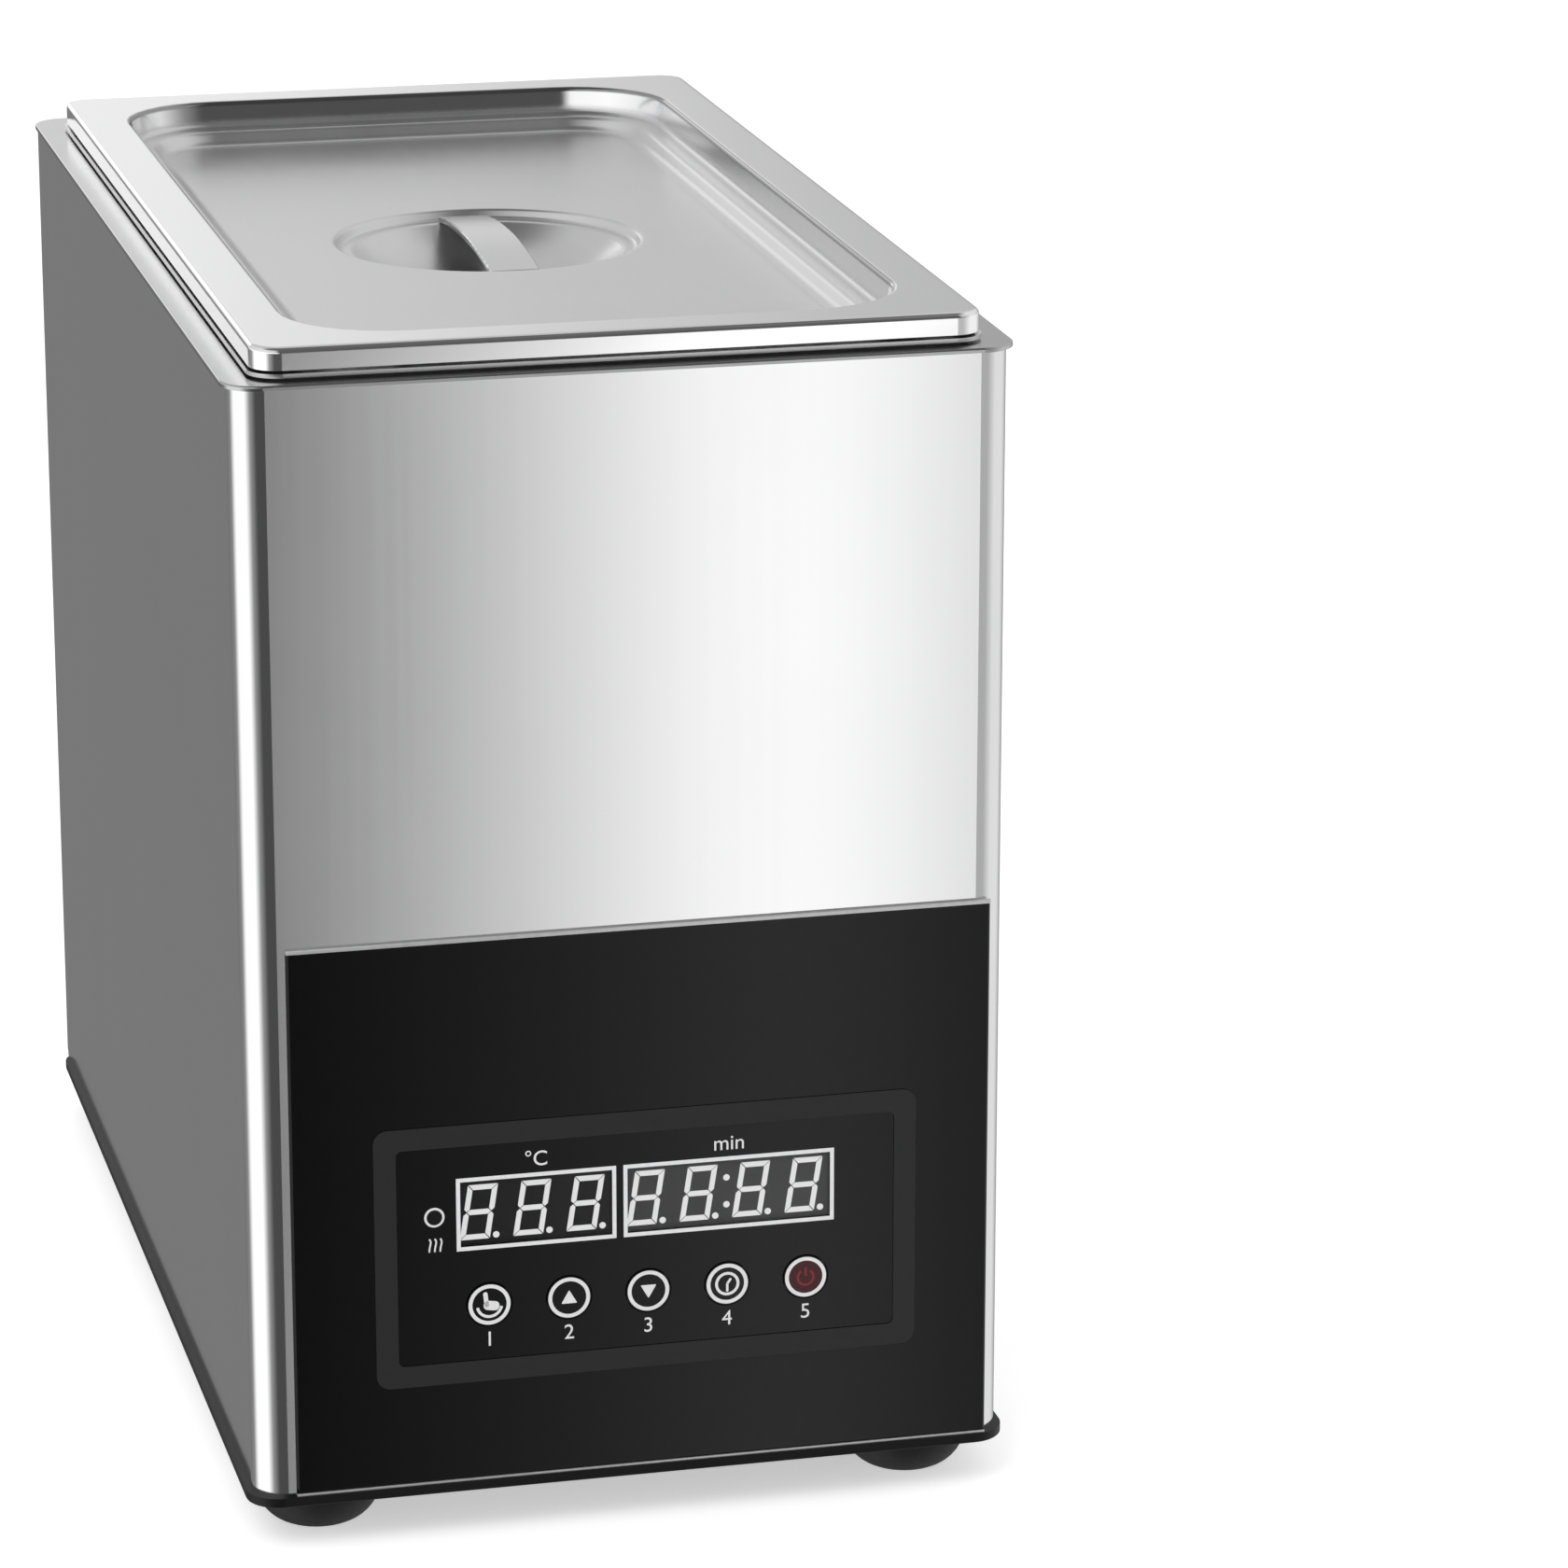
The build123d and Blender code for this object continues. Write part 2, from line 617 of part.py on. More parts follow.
def finger_bowl(skin):
    """The round recess under the lid's handle, grown outwards by skin."""
    step_level = LID_FLOOR - RECESS_STEP - skin
    bowl_level = LID_FLOOR - BOWL_DEPTH - skin
    rim = RECESS_LEDGE + skin
    with BuildPart() as bowl:
        with BuildSketch(Plane(origin=(0, TANK_Y, 0), x_dir=(1, 0, 0), z_dir=(0, -1, 0))):
            with BuildLine():
                Polyline(
                    (0, LID_TOP),
                    (RECESS_RADIUS + skin, LID_TOP),
                    (RECESS_RADIUS + skin, LID_FLOOR),
                    (RECESS_RADIUS + skin - RECESS_STEP, step_level),
                    (rim, step_level),
                )
                TangentArc((BOWL_FLAT, bowl_level), (rim, step_level), tangent=(1, 0))
                Polyline((BOWL_FLAT, bowl_level), (0, bowl_level), (0, LID_TOP))
            make_face()
        revolve(axis=Axis((0, TANK_Y, 0), (0, 0, 1)))
    return bowl.part


def lid_well(skin):
    """Everything that the lid's pressed well sinks into the sheet, grown outwards by skin."""
    first_width = WELL_WIDTH + 2 * skin
    first_length = WELL_LENGTH + 2 * skin
    second_width = first_width - 2 * (WELL_DRAW + LEDGE_WIDTH)
    second_length = first_length - 2 * (WELL_DRAW + LEDGE_WIDTH)
    first = rounded_tub(
        first_width, first_length, WELL_CORNER + skin, LID_TOP, FIRST_STEP + skin, WELL_DRAW, EDGE_FILLET
    )
    second = rounded_tub(
        second_width,
        second_length,
        WELL_CORNER - LEDGE_WIDTH + skin,
        LID_TOP - FIRST_STEP,
        SECOND_STEP + skin,
        WELL_DRAW,
        WELL_FLOOR_FILLET,
    )
    bowl = finger_bowl(skin)
    with BuildPart() as well:
        add(first)
        add(second)
        add(bowl)
    return well.part


# Lid: a turned-down lip, a two-step well and the finger recess
well_outside = lid_well(LID_SHEET)
well_inside = lid_well(0)
with BuildPart() as lid:
    with BuildSketch(level(LID_Z)):
        with Locations((0, TANK_Y)):
            RectangleRounded(LID_WIDTH, LID_LENGTH, LID_CORNER)
    extrude(amount=LIP_HEIGHT)
    fillet(lid.faces().sort_by(Axis.Z)[-1].edges(), LIP_FILLET)
    with BuildSketch(level(LID_Z)):
        with Locations((0, TANK_Y)):
            RectangleRounded(LID_WIDTH - 2 * LID_SHEET, LID_LENGTH - 2 * LID_SHEET, LID_CORNER - LID_SHEET)
    extrude(amount=LIP_HEIGHT - LID_SHEET, mode=Mode.SUBTRACT)
    add(well_outside)
    add(well_inside, mode=Mode.SUBTRACT)
write(lid.part, "lid")

# Lid handle: an arched strap whose ends lie on the recess's ledge
STRAP_SEAT = LID_FLOOR - RECESS_STEP
with BuildPart() as lid_handle:
    with BuildSketch(Plane.YZ.offset(-STRAP_WIDTH / 2)):
        with BuildLine():
            ThreePointArc(
                (TANK_Y - STRAP_LENGTH / 2, STRAP_SEAT),
                (TANK_Y, STRAP_SEAT + STRAP_ARCH),
                (TANK_Y + STRAP_LENGTH / 2, STRAP_SEAT),
            )
            Line(
                (TANK_Y + STRAP_LENGTH / 2, STRAP_SEAT),
                (TANK_Y + STRAP_LENGTH / 2, STRAP_SEAT + STRAP_THICK),
            )
            ThreePointArc(
                (TANK_Y + STRAP_LENGTH / 2, STRAP_SEAT + STRAP_THICK),
                (TANK_Y, STRAP_SEAT + STRAP_ARCH + STRAP_THICK),
                (TANK_Y - STRAP_LENGTH / 2, STRAP_SEAT + STRAP_THICK),
            )
            Line(
                (TANK_Y - STRAP_LENGTH / 2, STRAP_SEAT + STRAP_THICK),
                (TANK_Y - STRAP_LENGTH / 2, STRAP_SEAT),
            )
        make_face()
    extrude(amount=STRAP_WIDTH)
    fillet(lid_handle.faces().sort_by(Axis.X)[0].edges(), EDGE_FILLET)
    fillet(lid_handle.faces().sort_by(Axis.X)[-1].edges(), EDGE_FILLET)
write(lid_handle.part, "lid_handle")

# False bottom: a perforated plate on four legs, over the heating element
FALSE_WIDTH = MOUTH_WIDTH - 2 * (TANK_DRAW + FALSE_GAP)
FALSE_LENGTH = MOUTH_LENGTH - 2 * (TANK_DRAW + FALSE_GAP)
FALSE_LEG_X = FALSE_WIDTH / 2 - FALSE_LEG_INSET
FALSE_COLUMNS = int((FALSE_WIDTH - FALSE_CORNER) / FALSE_HOLE_PITCH)
FALSE_ROWS = int((FALSE_LENGTH - FALSE_CORNER) / FALSE_HOLE_PITCH)
with BuildPart() as false_bottom:
    with BuildSketch(level(FALSE_Z)):
        with Locations((0, TANK_Y)):
            RectangleRounded(FALSE_WIDTH, FALSE_LENGTH, FALSE_CORNER)
            with GridLocations(FALSE_HOLE_PITCH, FALSE_HOLE_PITCH, FALSE_COLUMNS, FALSE_ROWS):
                Circle(FALSE_HOLE, mode=Mode.SUBTRACT)
    extrude(amount=FALSE_SHEET)
    with BuildSketch(level(TANK_FLOOR)):
        with Locations((0, TANK_Y)):
            with GridLocations(2 * FALSE_LEG_X, 2 * FALSE_LEG_Y, 2, 2):
                Rectangle(FALSE_SHEET, FALSE_LEG_WIDTH)
    extrude(amount=FALSE_HEIGHT)
write(false_bottom.part, "false_bottom")

# Egg basket: four slotted walls with turned lips, welded at the corners and round a perforated floor
BASKET_WIDTH = MOUTH_WIDTH - 2 * (TANK_DRAW + BASKET_GAP)
BASKET_LENGTH = MOUTH_LENGTH - 2 * (TANK_DRAW + BASKET_GAP)
BASKET_TOP = BASKET_Z + BASKET_HEIGHT
BASKET_COLUMNS = int((BASKET_WIDTH - BASKET_MARGIN) / BASKET_HOLE_PITCH)
BASKET_ROWS = int((BASKET_LENGTH - BASKET_MARGIN) / BASKET_HOLE_PITCH)
END_SLOTS = int((BASKET_WIDTH - 2 * BASKET_MARGIN) / SLOT_PITCH)
SIDE_SLOTS = int((BASKET_LENGTH - 2 * BASKET_MARGIN) / SLOT_PITCH)
BASKET_MIDDLE = (0, TANK_Y, BASKET_Z + BASKET_HEIGHT / 2)
FLOOR_INSET = BASKET_SHEET + WELD_GAP
FLOOR_WIDTH = BASKET_WIDTH - 2 * FLOOR_INSET
FLOOR_LENGTH = BASKET_LENGTH - 2 * FLOOR_INSET
WALL_X = (BASKET_WIDTH - BASKET_SHEET) / 2
WALL_Y = (BASKET_LENGTH - BASKET_SHEET) / 2
with BuildPart() as egg_basket:
    with BuildSketch(level(BASKET_Z)):
        with Locations((0, TANK_Y)):
            with GridLocations(2 * WALL_X, 0, 2, 1):
                Rectangle(BASKET_SHEET, BASKET_LENGTH)
            with GridLocations(0, 2 * WALL_Y, 1, 2):
                Rectangle(FLOOR_WIDTH, BASKET_SHEET)
    extrude(amount=BASKET_HEIGHT)
    with BuildSketch(level(BASKET_TOP)):
        with Locations((0, TANK_Y)):
            with GridLocations(BASKET_WIDTH + BASKET_RIM, 0, 2, 1):
                Rectangle(BASKET_RIM, BASKET_LENGTH - 2 * BASKET_MARGIN)
            with GridLocations(0, BASKET_LENGTH + BASKET_RIM, 1, 2):
                Rectangle(BASKET_WIDTH - 2 * BASKET_MARGIN, BASKET_RIM)
    extrude(amount=-BASKET_SHEET)
    with BuildSketch(Plane(origin=BASKET_MIDDLE, x_dir=(1, 0, 0), z_dir=(0, -1, 0))):
        with GridLocations(SLOT_PITCH, 0, END_SLOTS, 1):
            SlotOverall(SLOT_HEIGHT, SLOT_WIDTH, rotation=QUARTER_TURN)
    extrude(amount=BASKET_LENGTH / 2, both=True, mode=Mode.SUBTRACT)
    with BuildSketch(Plane(origin=BASKET_MIDDLE, x_dir=(0, 1, 0), z_dir=(1, 0, 0))):
        with GridLocations(SLOT_PITCH, 0, SIDE_SLOTS, 1):
            SlotOverall(SLOT_HEIGHT, SLOT_WIDTH, rotation=QUARTER_TURN)
    extrude(amount=BASKET_WIDTH / 2, both=True, mode=Mode.SUBTRACT)
write(egg_basket.part, "egg_basket")

with BuildPart() as basket_floor:
    with BuildSketch(level(BASKET_Z)):
        with Locations((0, TANK_Y)):
            Rectangle(FLOOR_WIDTH, FLOOR_LENGTH)
            with GridLocations(BASKET_HOLE_PITCH, BASKET_HOLE_PITCH, BASKET_COLUMNS, BASKET_ROWS):
                Circle(BASKET_HOLE, mode=Mode.SUBTRACT)
    extrude(amount=BASKET_SHEET)
write(basket_floor.part, "basket_floor")

# Basket handles: a wire loop welded inside each end wall
HANDLE_Y = BASKET_LENGTH / 2 - BASKET_SHEET - WIRE_RADIUS - WELD_GAP
with BuildPart() as basket_handles:
    for end in (-1, 1):
        with BuildLine() as handle_path:
            FilletPolyline(
                (-HANDLE_SPAN / 2, TANK_Y + end * HANDLE_Y, BASKET_TOP - HANDLE_DROP),
                (-HANDLE_SPAN / 2, TANK_Y + end * HANDLE_Y, BASKET_TOP + HANDLE_RISE),
                (HANDLE_SPAN / 2, TANK_Y + end * HANDLE_Y, BASKET_TOP + HANDLE_RISE),
                (HANDLE_SPAN / 2, TANK_Y + end * HANDLE_Y, BASKET_TOP - HANDLE_DROP),
                radius=HANDLE_BEND,
            )
        with BuildSketch(Plane(origin=handle_path.line @ 0, z_dir=handle_path.line % 0)):
            Circle(WIRE_RADIUS)
        sweep(path=handle_path.line)
write(basket_handles.part, "basket_handles")

# Heating element: one hairpin tube, with a collar brazed on each leg
HEATER_RUN = TANK_FLOOR + HEATER_LIFT
HEATER_END = TANK_BOTTOM - HEATER_TAIL
COLLAR_Z = TANK_FLOOR + SEAL_THICK
with BuildPart() as heating_element:
    with BuildLine() as element_path:
        FilletPolyline(
            (-HEATER_X, HEATER_Y, HEATER_END),
            (-HEATER_X, HEATER_Y, HEATER_RUN),
            (-HEATER_X, TANK_Y - HEATER_FRONT, HEATER_RUN),
            (HEATER_X, TANK_Y - HEATER_FRONT, HEATER_RUN),
            (HEATER_X, HEATER_Y, HEATER_RUN),
            (HEATER_X, HEATER_Y, HEATER_END),
            radius=(HEATER_BEND, HEATER_TURN, HEATER_TURN, HEATER_BEND),
        )
    with BuildSketch(Plane(origin=element_path.line @ 0, z_dir=element_path.line % 0)):
        Circle(HEATER_RADIUS)
    sweep(path=element_path.line)
    with BuildSketch(level(COLLAR_Z)):
        with Locations(*HEATER_PLACES):
            Circle(COLLAR_RADIUS)
    extrude(amount=COLLAR_THICK)
    with BuildSketch(level(COLLAR_Z)):
        with Locations(*HEATER_PLACES):
            Circle(SHANK_RADIUS)
    extrude(amount=-SEAL_THICK - TANK_SHEET - SHANK_LENGTH)
write(heating_element.part, "heating_element")

# Temperature probe: a closed steel sheath that stands in the water
with BuildPart() as temperature_probe:
    with BuildSketch(level(TANK_BOTTOM - PROBE_TAIL)):
        with Locations((PROBE_X, HEATER_Y)):
            Circle(PROBE_RADIUS)
    extrude(amount=PROBE_TAIL + TANK_SHEET + PROBE_LIFT)
    fillet(temperature_probe.faces().sort_by(Axis.Z)[-1].edges(), PROBE_RADIUS / 2)
write(temperature_probe.part, "temperature_probe")

# Probe gland: a collar on its seal, and a shank through the tank's floor
with BuildPart() as probe_gland:
    with BuildSketch(level(COLLAR_Z)):
        with Locations((PROBE_X, HEATER_Y)):
            Circle(PROBE_COLLAR)
            Circle(PROBE_RADIUS, mode=Mode.SUBTRACT)
    extrude(amount=COLLAR_THICK)
    with BuildSketch(level(COLLAR_Z)):
        with Locations((PROBE_X, HEATER_Y)):
            Circle(PROBE_SHANK)
            Circle(PROBE_RADIUS, mode=Mode.SUBTRACT)
    extrude(amount=-SEAL_THICK - TANK_SHEET - SHANK_LENGTH)
write(probe_gland.part, "probe_gland")

# Thermal cut-out: a disc held against the tank's underside by a sprung clip
with BuildPart() as thermal_cutout:
    with BuildSketch(level(TANK_BOTTOM)):
        with Locations((0, TANK_Y + CUTOUT_Y)):
            Circle(CUTOUT_RADIUS)
    extrude(amount=-CUTOUT_HEIGHT)
write(thermal_cutout.part, "thermal_cutout")

CLIP_HALF = CLIP_LENGTH / 2
CLIP_KNEE = CLIP_HALF - CLIP_FOOT
CLIP_LOW = TANK_BOTTOM - CUTOUT_HEIGHT - CLIP_THICK
with BuildPart() as cutout_clip:
    with BuildSketch(Plane(origin=(0, TANK_Y + CUTOUT_Y, 0), x_dir=(1, 0, 0), z_dir=(0, -1, 0))):
        with BuildLine():
            Polyline(
                (-CLIP_HALF, TANK_BOTTOM),
                (-CLIP_HALF, TANK_BOTTOM - CLIP_THICK),
                (-CLIP_KNEE, TANK_BOTTOM - CLIP_THICK),
                (-CLIP_KNEE, CLIP_LOW),
                (CLIP_KNEE, CLIP_LOW),
                (CLIP_KNEE, TANK_BOTTOM - CLIP_THICK),
                (CLIP_HALF, TANK_BOTTOM - CLIP_THICK),
                (CLIP_HALF, TANK_BOTTOM),
                (CLIP_KNEE - CLIP_THICK, TANK_BOTTOM),
                (CLIP_KNEE - CLIP_THICK, CLIP_LOW + CLIP_THICK),
                (CLIP_THICK - CLIP_KNEE, CLIP_LOW + CLIP_THICK),
                (CLIP_THICK - CLIP_KNEE, TANK_BOTTOM),
                close=True,
            )
        make_face()
    extrude(amount=CLIP_WIDTH / 2, both=True)
write(cutout_clip.part, "cutout_clip")

# Drain pipe: down from the tank's floor, round an elbow and out through the back panel
PIPE_END = BACK_Y + SOCKET_START + PIPE_SOCKET
with BuildPart() as drain_pipe:
    with BuildLine() as pipe_path:
        FilletPolyline(
            (0, HEATER_Y, TANK_FLOOR + SEAL_THICK),
            (0, HEATER_Y, DRAIN_Z),
            (0, PIPE_END, DRAIN_Z),
            radius=PIPE_BEND,
        )
    with BuildSketch(Plane(origin=pipe_path.line @ 0, z_dir=pipe_path.line % 0)):
        Circle(PIPE_RADIUS)
    sweep(path=pipe_path.line)
    with BuildSketch(level(TANK_FLOOR + SEAL_THICK)):
        with Locations((0, HEATER_Y)):
            Circle(PIPE_FLANGE)
    extrude(amount=PIPE_FLANGE_THICK)
    with BuildLine() as bore_path:
        FilletPolyline(
            (0, HEATER_Y, TANK_FLOOR + SEAL_THICK + PIPE_FLANGE_THICK),
            (0, HEATER_Y, DRAIN_Z),
            (0, PIPE_END, DRAIN_Z),
            radius=PIPE_BEND,
        )
    with BuildSketch(Plane(origin=bore_path.line @ 0, z_dir=bore_path.line % 0)):
        Circle(PIPE_BORE)
    sweep(path=bore_path.line, mode=Mode.SUBTRACT)
write(drain_pipe.part, "drain_pipe")

# Seals on the tank's floor and nuts under it, one of each round every fitting's shank
TANK_FITTINGS = (
    (HEATER_PLACES[0], COLLAR_RADIUS, SHANK_RADIUS, NUT_FLATS),
    (HEATER_PLACES[1], COLLAR_RADIUS, SHANK_RADIUS, NUT_FLATS),
    ((PROBE_X, HEATER_Y), PROBE_COLLAR, PROBE_SHANK, PROBE_NUT_FLATS),
    ((0, HEATER_Y), PIPE_FLANGE, PIPE_RADIUS, 2 * PIPE_FLANGE),
)
with BuildPart() as tank_seals:
    with BuildSketch(level(TANK_FLOOR)):
        for place, collar, shank, _ in TANK_FITTINGS:
            with Locations(place):
                Circle(collar)
                Circle(shank, mode=Mode.SUBTRACT)
    extrude(amount=SEAL_THICK)
write(tank_seals.part, "tank_seals")

with BuildPart() as tank_nuts:
    with BuildSketch(level(TANK_BOTTOM)):
        for place, _, shank, flats in TANK_FITTINGS:
            with Locations(place):
                RegularPolygon(flats / 2, HEX_SIDES, major_radius=False)
                Circle(shank, mode=Mode.SUBTRACT)
    extrude(amount=-NUT_THICK)
write(tank_nuts.part, "tank_nuts")


def behind(distance):
    """An upright plane that faces the front, this far behind the back panel's outer face."""
    return front(CASE_DEPTH + distance)


# Valve body: a socket for the pipe, a chamber for the ball and a boss for the stem
with BuildPart() as valve_body:
    with BuildSketch(behind(SOCKET_START)):
        with Locations((0, DRAIN_Z)):
            Circle(VALVE_RADIUS)
    extrude(amount=SOCKET_START - BODY_END)
    with BuildSketch(level(DRAIN_Z)):
        with Locations((0, BALL_Y)):
            Circle(BOSS_RADIUS)
    extrude(amount=VALVE_RADIUS + BOSS_HEIGHT)
    with BuildSketch(behind(SOCKET_START)):
        with Locations((0, DRAIN_Z)):
            Circle(PIPE_RADIUS)
    extrude(amount=-PIPE_SOCKET, mode=Mode.SUBTRACT)
    with BuildSketch(behind(SOCKET_START)):
        with Locations((0, DRAIN_Z)):
            Circle(PIPE_BORE)
    extrude(amount=SOCKET_START - CHAMBER_START, mode=Mode.SUBTRACT)
    with BuildSketch(behind(CHAMBER_START)):
        with Locations((0, DRAIN_Z)):
            Circle(CHAMBER_RADIUS)
    extrude(amount=CHAMBER_START - BODY_END, mode=Mode.SUBTRACT)
    with BuildSketch(level(DRAIN_Z)):
        with Locations((0, BALL_Y)):
            Circle(STEM_RADIUS + RUNNING_GAP)
    extrude(amount=VALVE_RADIUS + BOSS_HEIGHT, mode=Mode.SUBTRACT)
write(valve_body.part, "valve_body")

# Valve seats: a ring on each side of the ball
SEAT_BORE = math.sqrt(BALL_RADIUS**2 - (BALL_RADIUS - SEAT_DEPTH) ** 2) + SLIP_GAP
with BuildPart() as valve_seats:
    for seat_start in (CHAMBER_START, CHAMBER_START + 2 * BALL_RADIUS - SEAT_DEPTH):
        with BuildSketch(behind(seat_start)):
            with Locations((0, DRAIN_Z)):
                Circle(CHAMBER_RADIUS)
                Circle(SEAT_BORE, mode=Mode.SUBTRACT)
        extrude(amount=-SEAT_DEPTH)
write(valve_seats.part, "valve_seats")

# Valve tailpiece: screws into the body behind the ball and ends in a ribbed hose tail
TAIL_START = CHAMBER_START + 2 * BALL_RADIUS
HOSE_START = BODY_END + TAIL_FLANGE
BARB_PITCH = HOSE_LENGTH / (HOSE_BARBS + 1)
with BuildPart() as valve_tailpiece:
    with BuildSketch(behind(TAIL_START)):
        with Locations((0, DRAIN_Z)):
            Circle(CHAMBER_RADIUS)
    extrude(amount=TAIL_START - BODY_END)
    with BuildSketch(behind(BODY_END)):
        with Locations((0, DRAIN_Z)):
            RegularPolygon(TAIL_FLATS / 2, HEX_SIDES, major_radius=False)
    extrude(amount=-TAIL_FLANGE)
    with BuildSketch(behind(HOSE_START)):
        with Locations((0, DRAIN_Z)):
            Circle(HOSE_RADIUS)
    extrude(amount=-HOSE_LENGTH)
    for barb in range(HOSE_BARBS):
        with BuildSketch(behind(HOSE_START + (barb + 1) * BARB_PITCH)):
            with Locations((0, DRAIN_Z)):
                Circle(HOSE_RADIUS + HOSE_BARB)
        extrude(amount=-BARB_PITCH, taper=math.degrees(math.atan(HOSE_BARB / BARB_PITCH)))
    with BuildSketch(behind(TAIL_START)):
        with Locations((0, DRAIN_Z)):
            Circle(PIPE_BORE)
    extrude(amount=TAIL_START - VALVE_REACH, mode=Mode.SUBTRACT)
write(valve_tailpiece.part, "valve_tailpiece")

# Valve ball: shut at rest, so its bore lies across the flow
with BuildPart() as valve_ball:
    with BuildSketch(Plane(origin=(0, BALL_Y, 0), x_dir=(1, 0, 0), z_dir=(0, -1, 0))):
        with BuildLine():
            ThreePointArc(
                (0, DRAIN_Z - BALL_RADIUS + SLIP_GAP),
                (BALL_RADIUS - SLIP_GAP, DRAIN_Z),
                (0, DRAIN_Z + BALL_RADIUS - SLIP_GAP),
            )
            Line((0, DRAIN_Z + BALL_RADIUS - SLIP_GAP), (0, DRAIN_Z - BALL_RADIUS + SLIP_GAP))
        make_face()
    revolve(axis=Axis((0, BALL_Y, 0), (0, 0, 1)))
    with BuildSketch(Plane(origin=(0, BALL_Y, DRAIN_Z), x_dir=(0, 1, 0), z_dir=(1, 0, 0))):
        Circle(PIPE_BORE)
    extrude(amount=BALL_RADIUS, both=True, mode=Mode.SUBTRACT)
    with BuildSketch(level(DRAIN_Z + BALL_RADIUS - SLIP_GAP)):
        with Locations((0, BALL_Y)):
            Circle(STEM_RADIUS)
    extrude(amount=-STEM_POCKET, mode=Mode.SUBTRACT)
write(valve_ball.part, "valve_ball")

# Valve stem: from the ball's pocket up through the boss and the lever
STEM_START = DRAIN_Z + BALL_RADIUS - SLIP_GAP - STEM_POCKET
STEM_NUT_Z = DRAIN_Z + VALVE_RADIUS + BOSS_HEIGHT
LEVER_Z = STEM_NUT_Z + STEM_NUT_THICK + SLIP_GAP
LEVER_NUT_Z = LEVER_Z + LEVER_THICK
STEM_TOP = LEVER_NUT_Z + LEVER_NUT_THICK + STEM_TIP
with BuildPart() as valve_stem:
    with BuildSketch(level(STEM_START)):
        with Locations((0, BALL_Y)):
            Circle(STEM_RADIUS)
    extrude(amount=STEM_TOP - STEM_START)
write(valve_stem.part, "valve_stem")

# Stem nut: closes the packing on top of the boss
with BuildPart() as stem_nut:
    with BuildSketch(level(STEM_NUT_Z)):
        with Locations((0, BALL_Y)):
            RegularPolygon(STEM_NUT_FLATS / 2, HEX_SIDES, major_radius=False)
            Circle(STEM_RADIUS + RUNNING_GAP, mode=Mode.SUBTRACT)
    extrude(amount=STEM_NUT_THICK)
write(stem_nut.part, "stem_nut")

# Valve lever: a flat bar across the flow while the valve is shut
with BuildPart() as valve_lever:
    with BuildSketch(level(LEVER_Z)):
        with Locations((0, BALL_Y)):
            Circle(LEVER_EYE)
        with Locations(((LEVER_LENGTH - LEVER_WIDTH / 2) / 2, BALL_Y)):
            Rectangle(LEVER_LENGTH - LEVER_WIDTH / 2, LEVER_WIDTH)
        with Locations((LEVER_LENGTH - LEVER_WIDTH / 2, BALL_Y)):
            Circle(LEVER_WIDTH / 2)
        with Locations((0, BALL_Y)):
            Circle(STEM_RADIUS, mode=Mode.SUBTRACT)
    extrude(amount=LEVER_THICK)
write(valve_lever.part, "valve_lever")

# Lever sleeve: the soft cover on the lever's free end
SLEEVE_START = LEVER_LENGTH - SLEEVE_LENGTH
with BuildPart() as lever_sleeve:
    with BuildSketch(level(LEVER_Z - SLEEVE_WALL)):
        with Locations(((SLEEVE_START + LEVER_LENGTH - LEVER_WIDTH / 2) / 2, BALL_Y)):
            Rectangle(LEVER_LENGTH - LEVER_WIDTH / 2 - SLEEVE_START, LEVER_WIDTH + 2 * SLEEVE_WALL)
        with Locations((LEVER_LENGTH - LEVER_WIDTH / 2, BALL_Y)):
            Circle(LEVER_WIDTH / 2 + SLEEVE_WALL)
    extrude(amount=LEVER_THICK + 2 * SLEEVE_WALL)
    fillet(lever_sleeve.faces().sort_by(Axis.Z)[-1].edges(), SLEEVE_WALL / 2)
    fillet(lever_sleeve.faces().sort_by(Axis.Z)[0].edges(), SLEEVE_WALL / 2)
    add(valve_lever.part, mode=Mode.SUBTRACT)
write(lever_sleeve.part, "lever_sleeve")

with BuildPart() as lever_nut:
    with BuildSketch(level(LEVER_NUT_Z)):
        with Locations((0, BALL_Y)):
            RegularPolygon(LEVER_NUT_FLATS / 2, HEX_SIDES, major_radius=False)
            Circle(STEM_RADIUS, mode=Mode.SUBTRACT)
    extrude(amount=LEVER_NUT_THICK)
write(lever_nut.part, "lever_nut")

# Cable gland: a threaded body with a hexagon and a domed cap, its bore open for a cable
with BuildPart() as cable_gland:
    with BuildSketch(front(CASE_DEPTH - CASE_SHEET - GLAND_INSIDE)):
        with Locations((GLAND_X, CASE_Z + GLAND_Z)):
            Circle(GLAND_THREAD)
    extrude(amount=-CASE_SHEET - GLAND_INSIDE)
    with BuildSketch(behind(0)):
        with Locations((GLAND_X, CASE_Z + GLAND_Z)):
            RegularPolygon(GLAND_FLATS / 2, HEX_SIDES, major_radius=False)
    extrude(amount=-GLAND_COLLAR)
    with BuildSketch(behind(GLAND_COLLAR)):
        with Locations((GLAND_X, CASE_Z + GLAND_Z)):
            Circle(GLAND_CAP_RADIUS)
    extrude(amount=-GLAND_CAP_LENGTH)
    fillet(cable_gland.faces().sort_by(Axis.Y)[-1].edges(), GLAND_CAP_FILLET)
    with BuildSketch(front(CASE_DEPTH - CASE_SHEET - GLAND_INSIDE)):
        with Locations((GLAND_X, CASE_Z + GLAND_Z)):
            Circle(GLAND_BORE)
    extrude(amount=-CASE_SHEET - GLAND_INSIDE - GLAND_COLLAR - GLAND_CAP_LENGTH, mode=Mode.SUBTRACT)
write(cable_gland.part, "cable_gland")

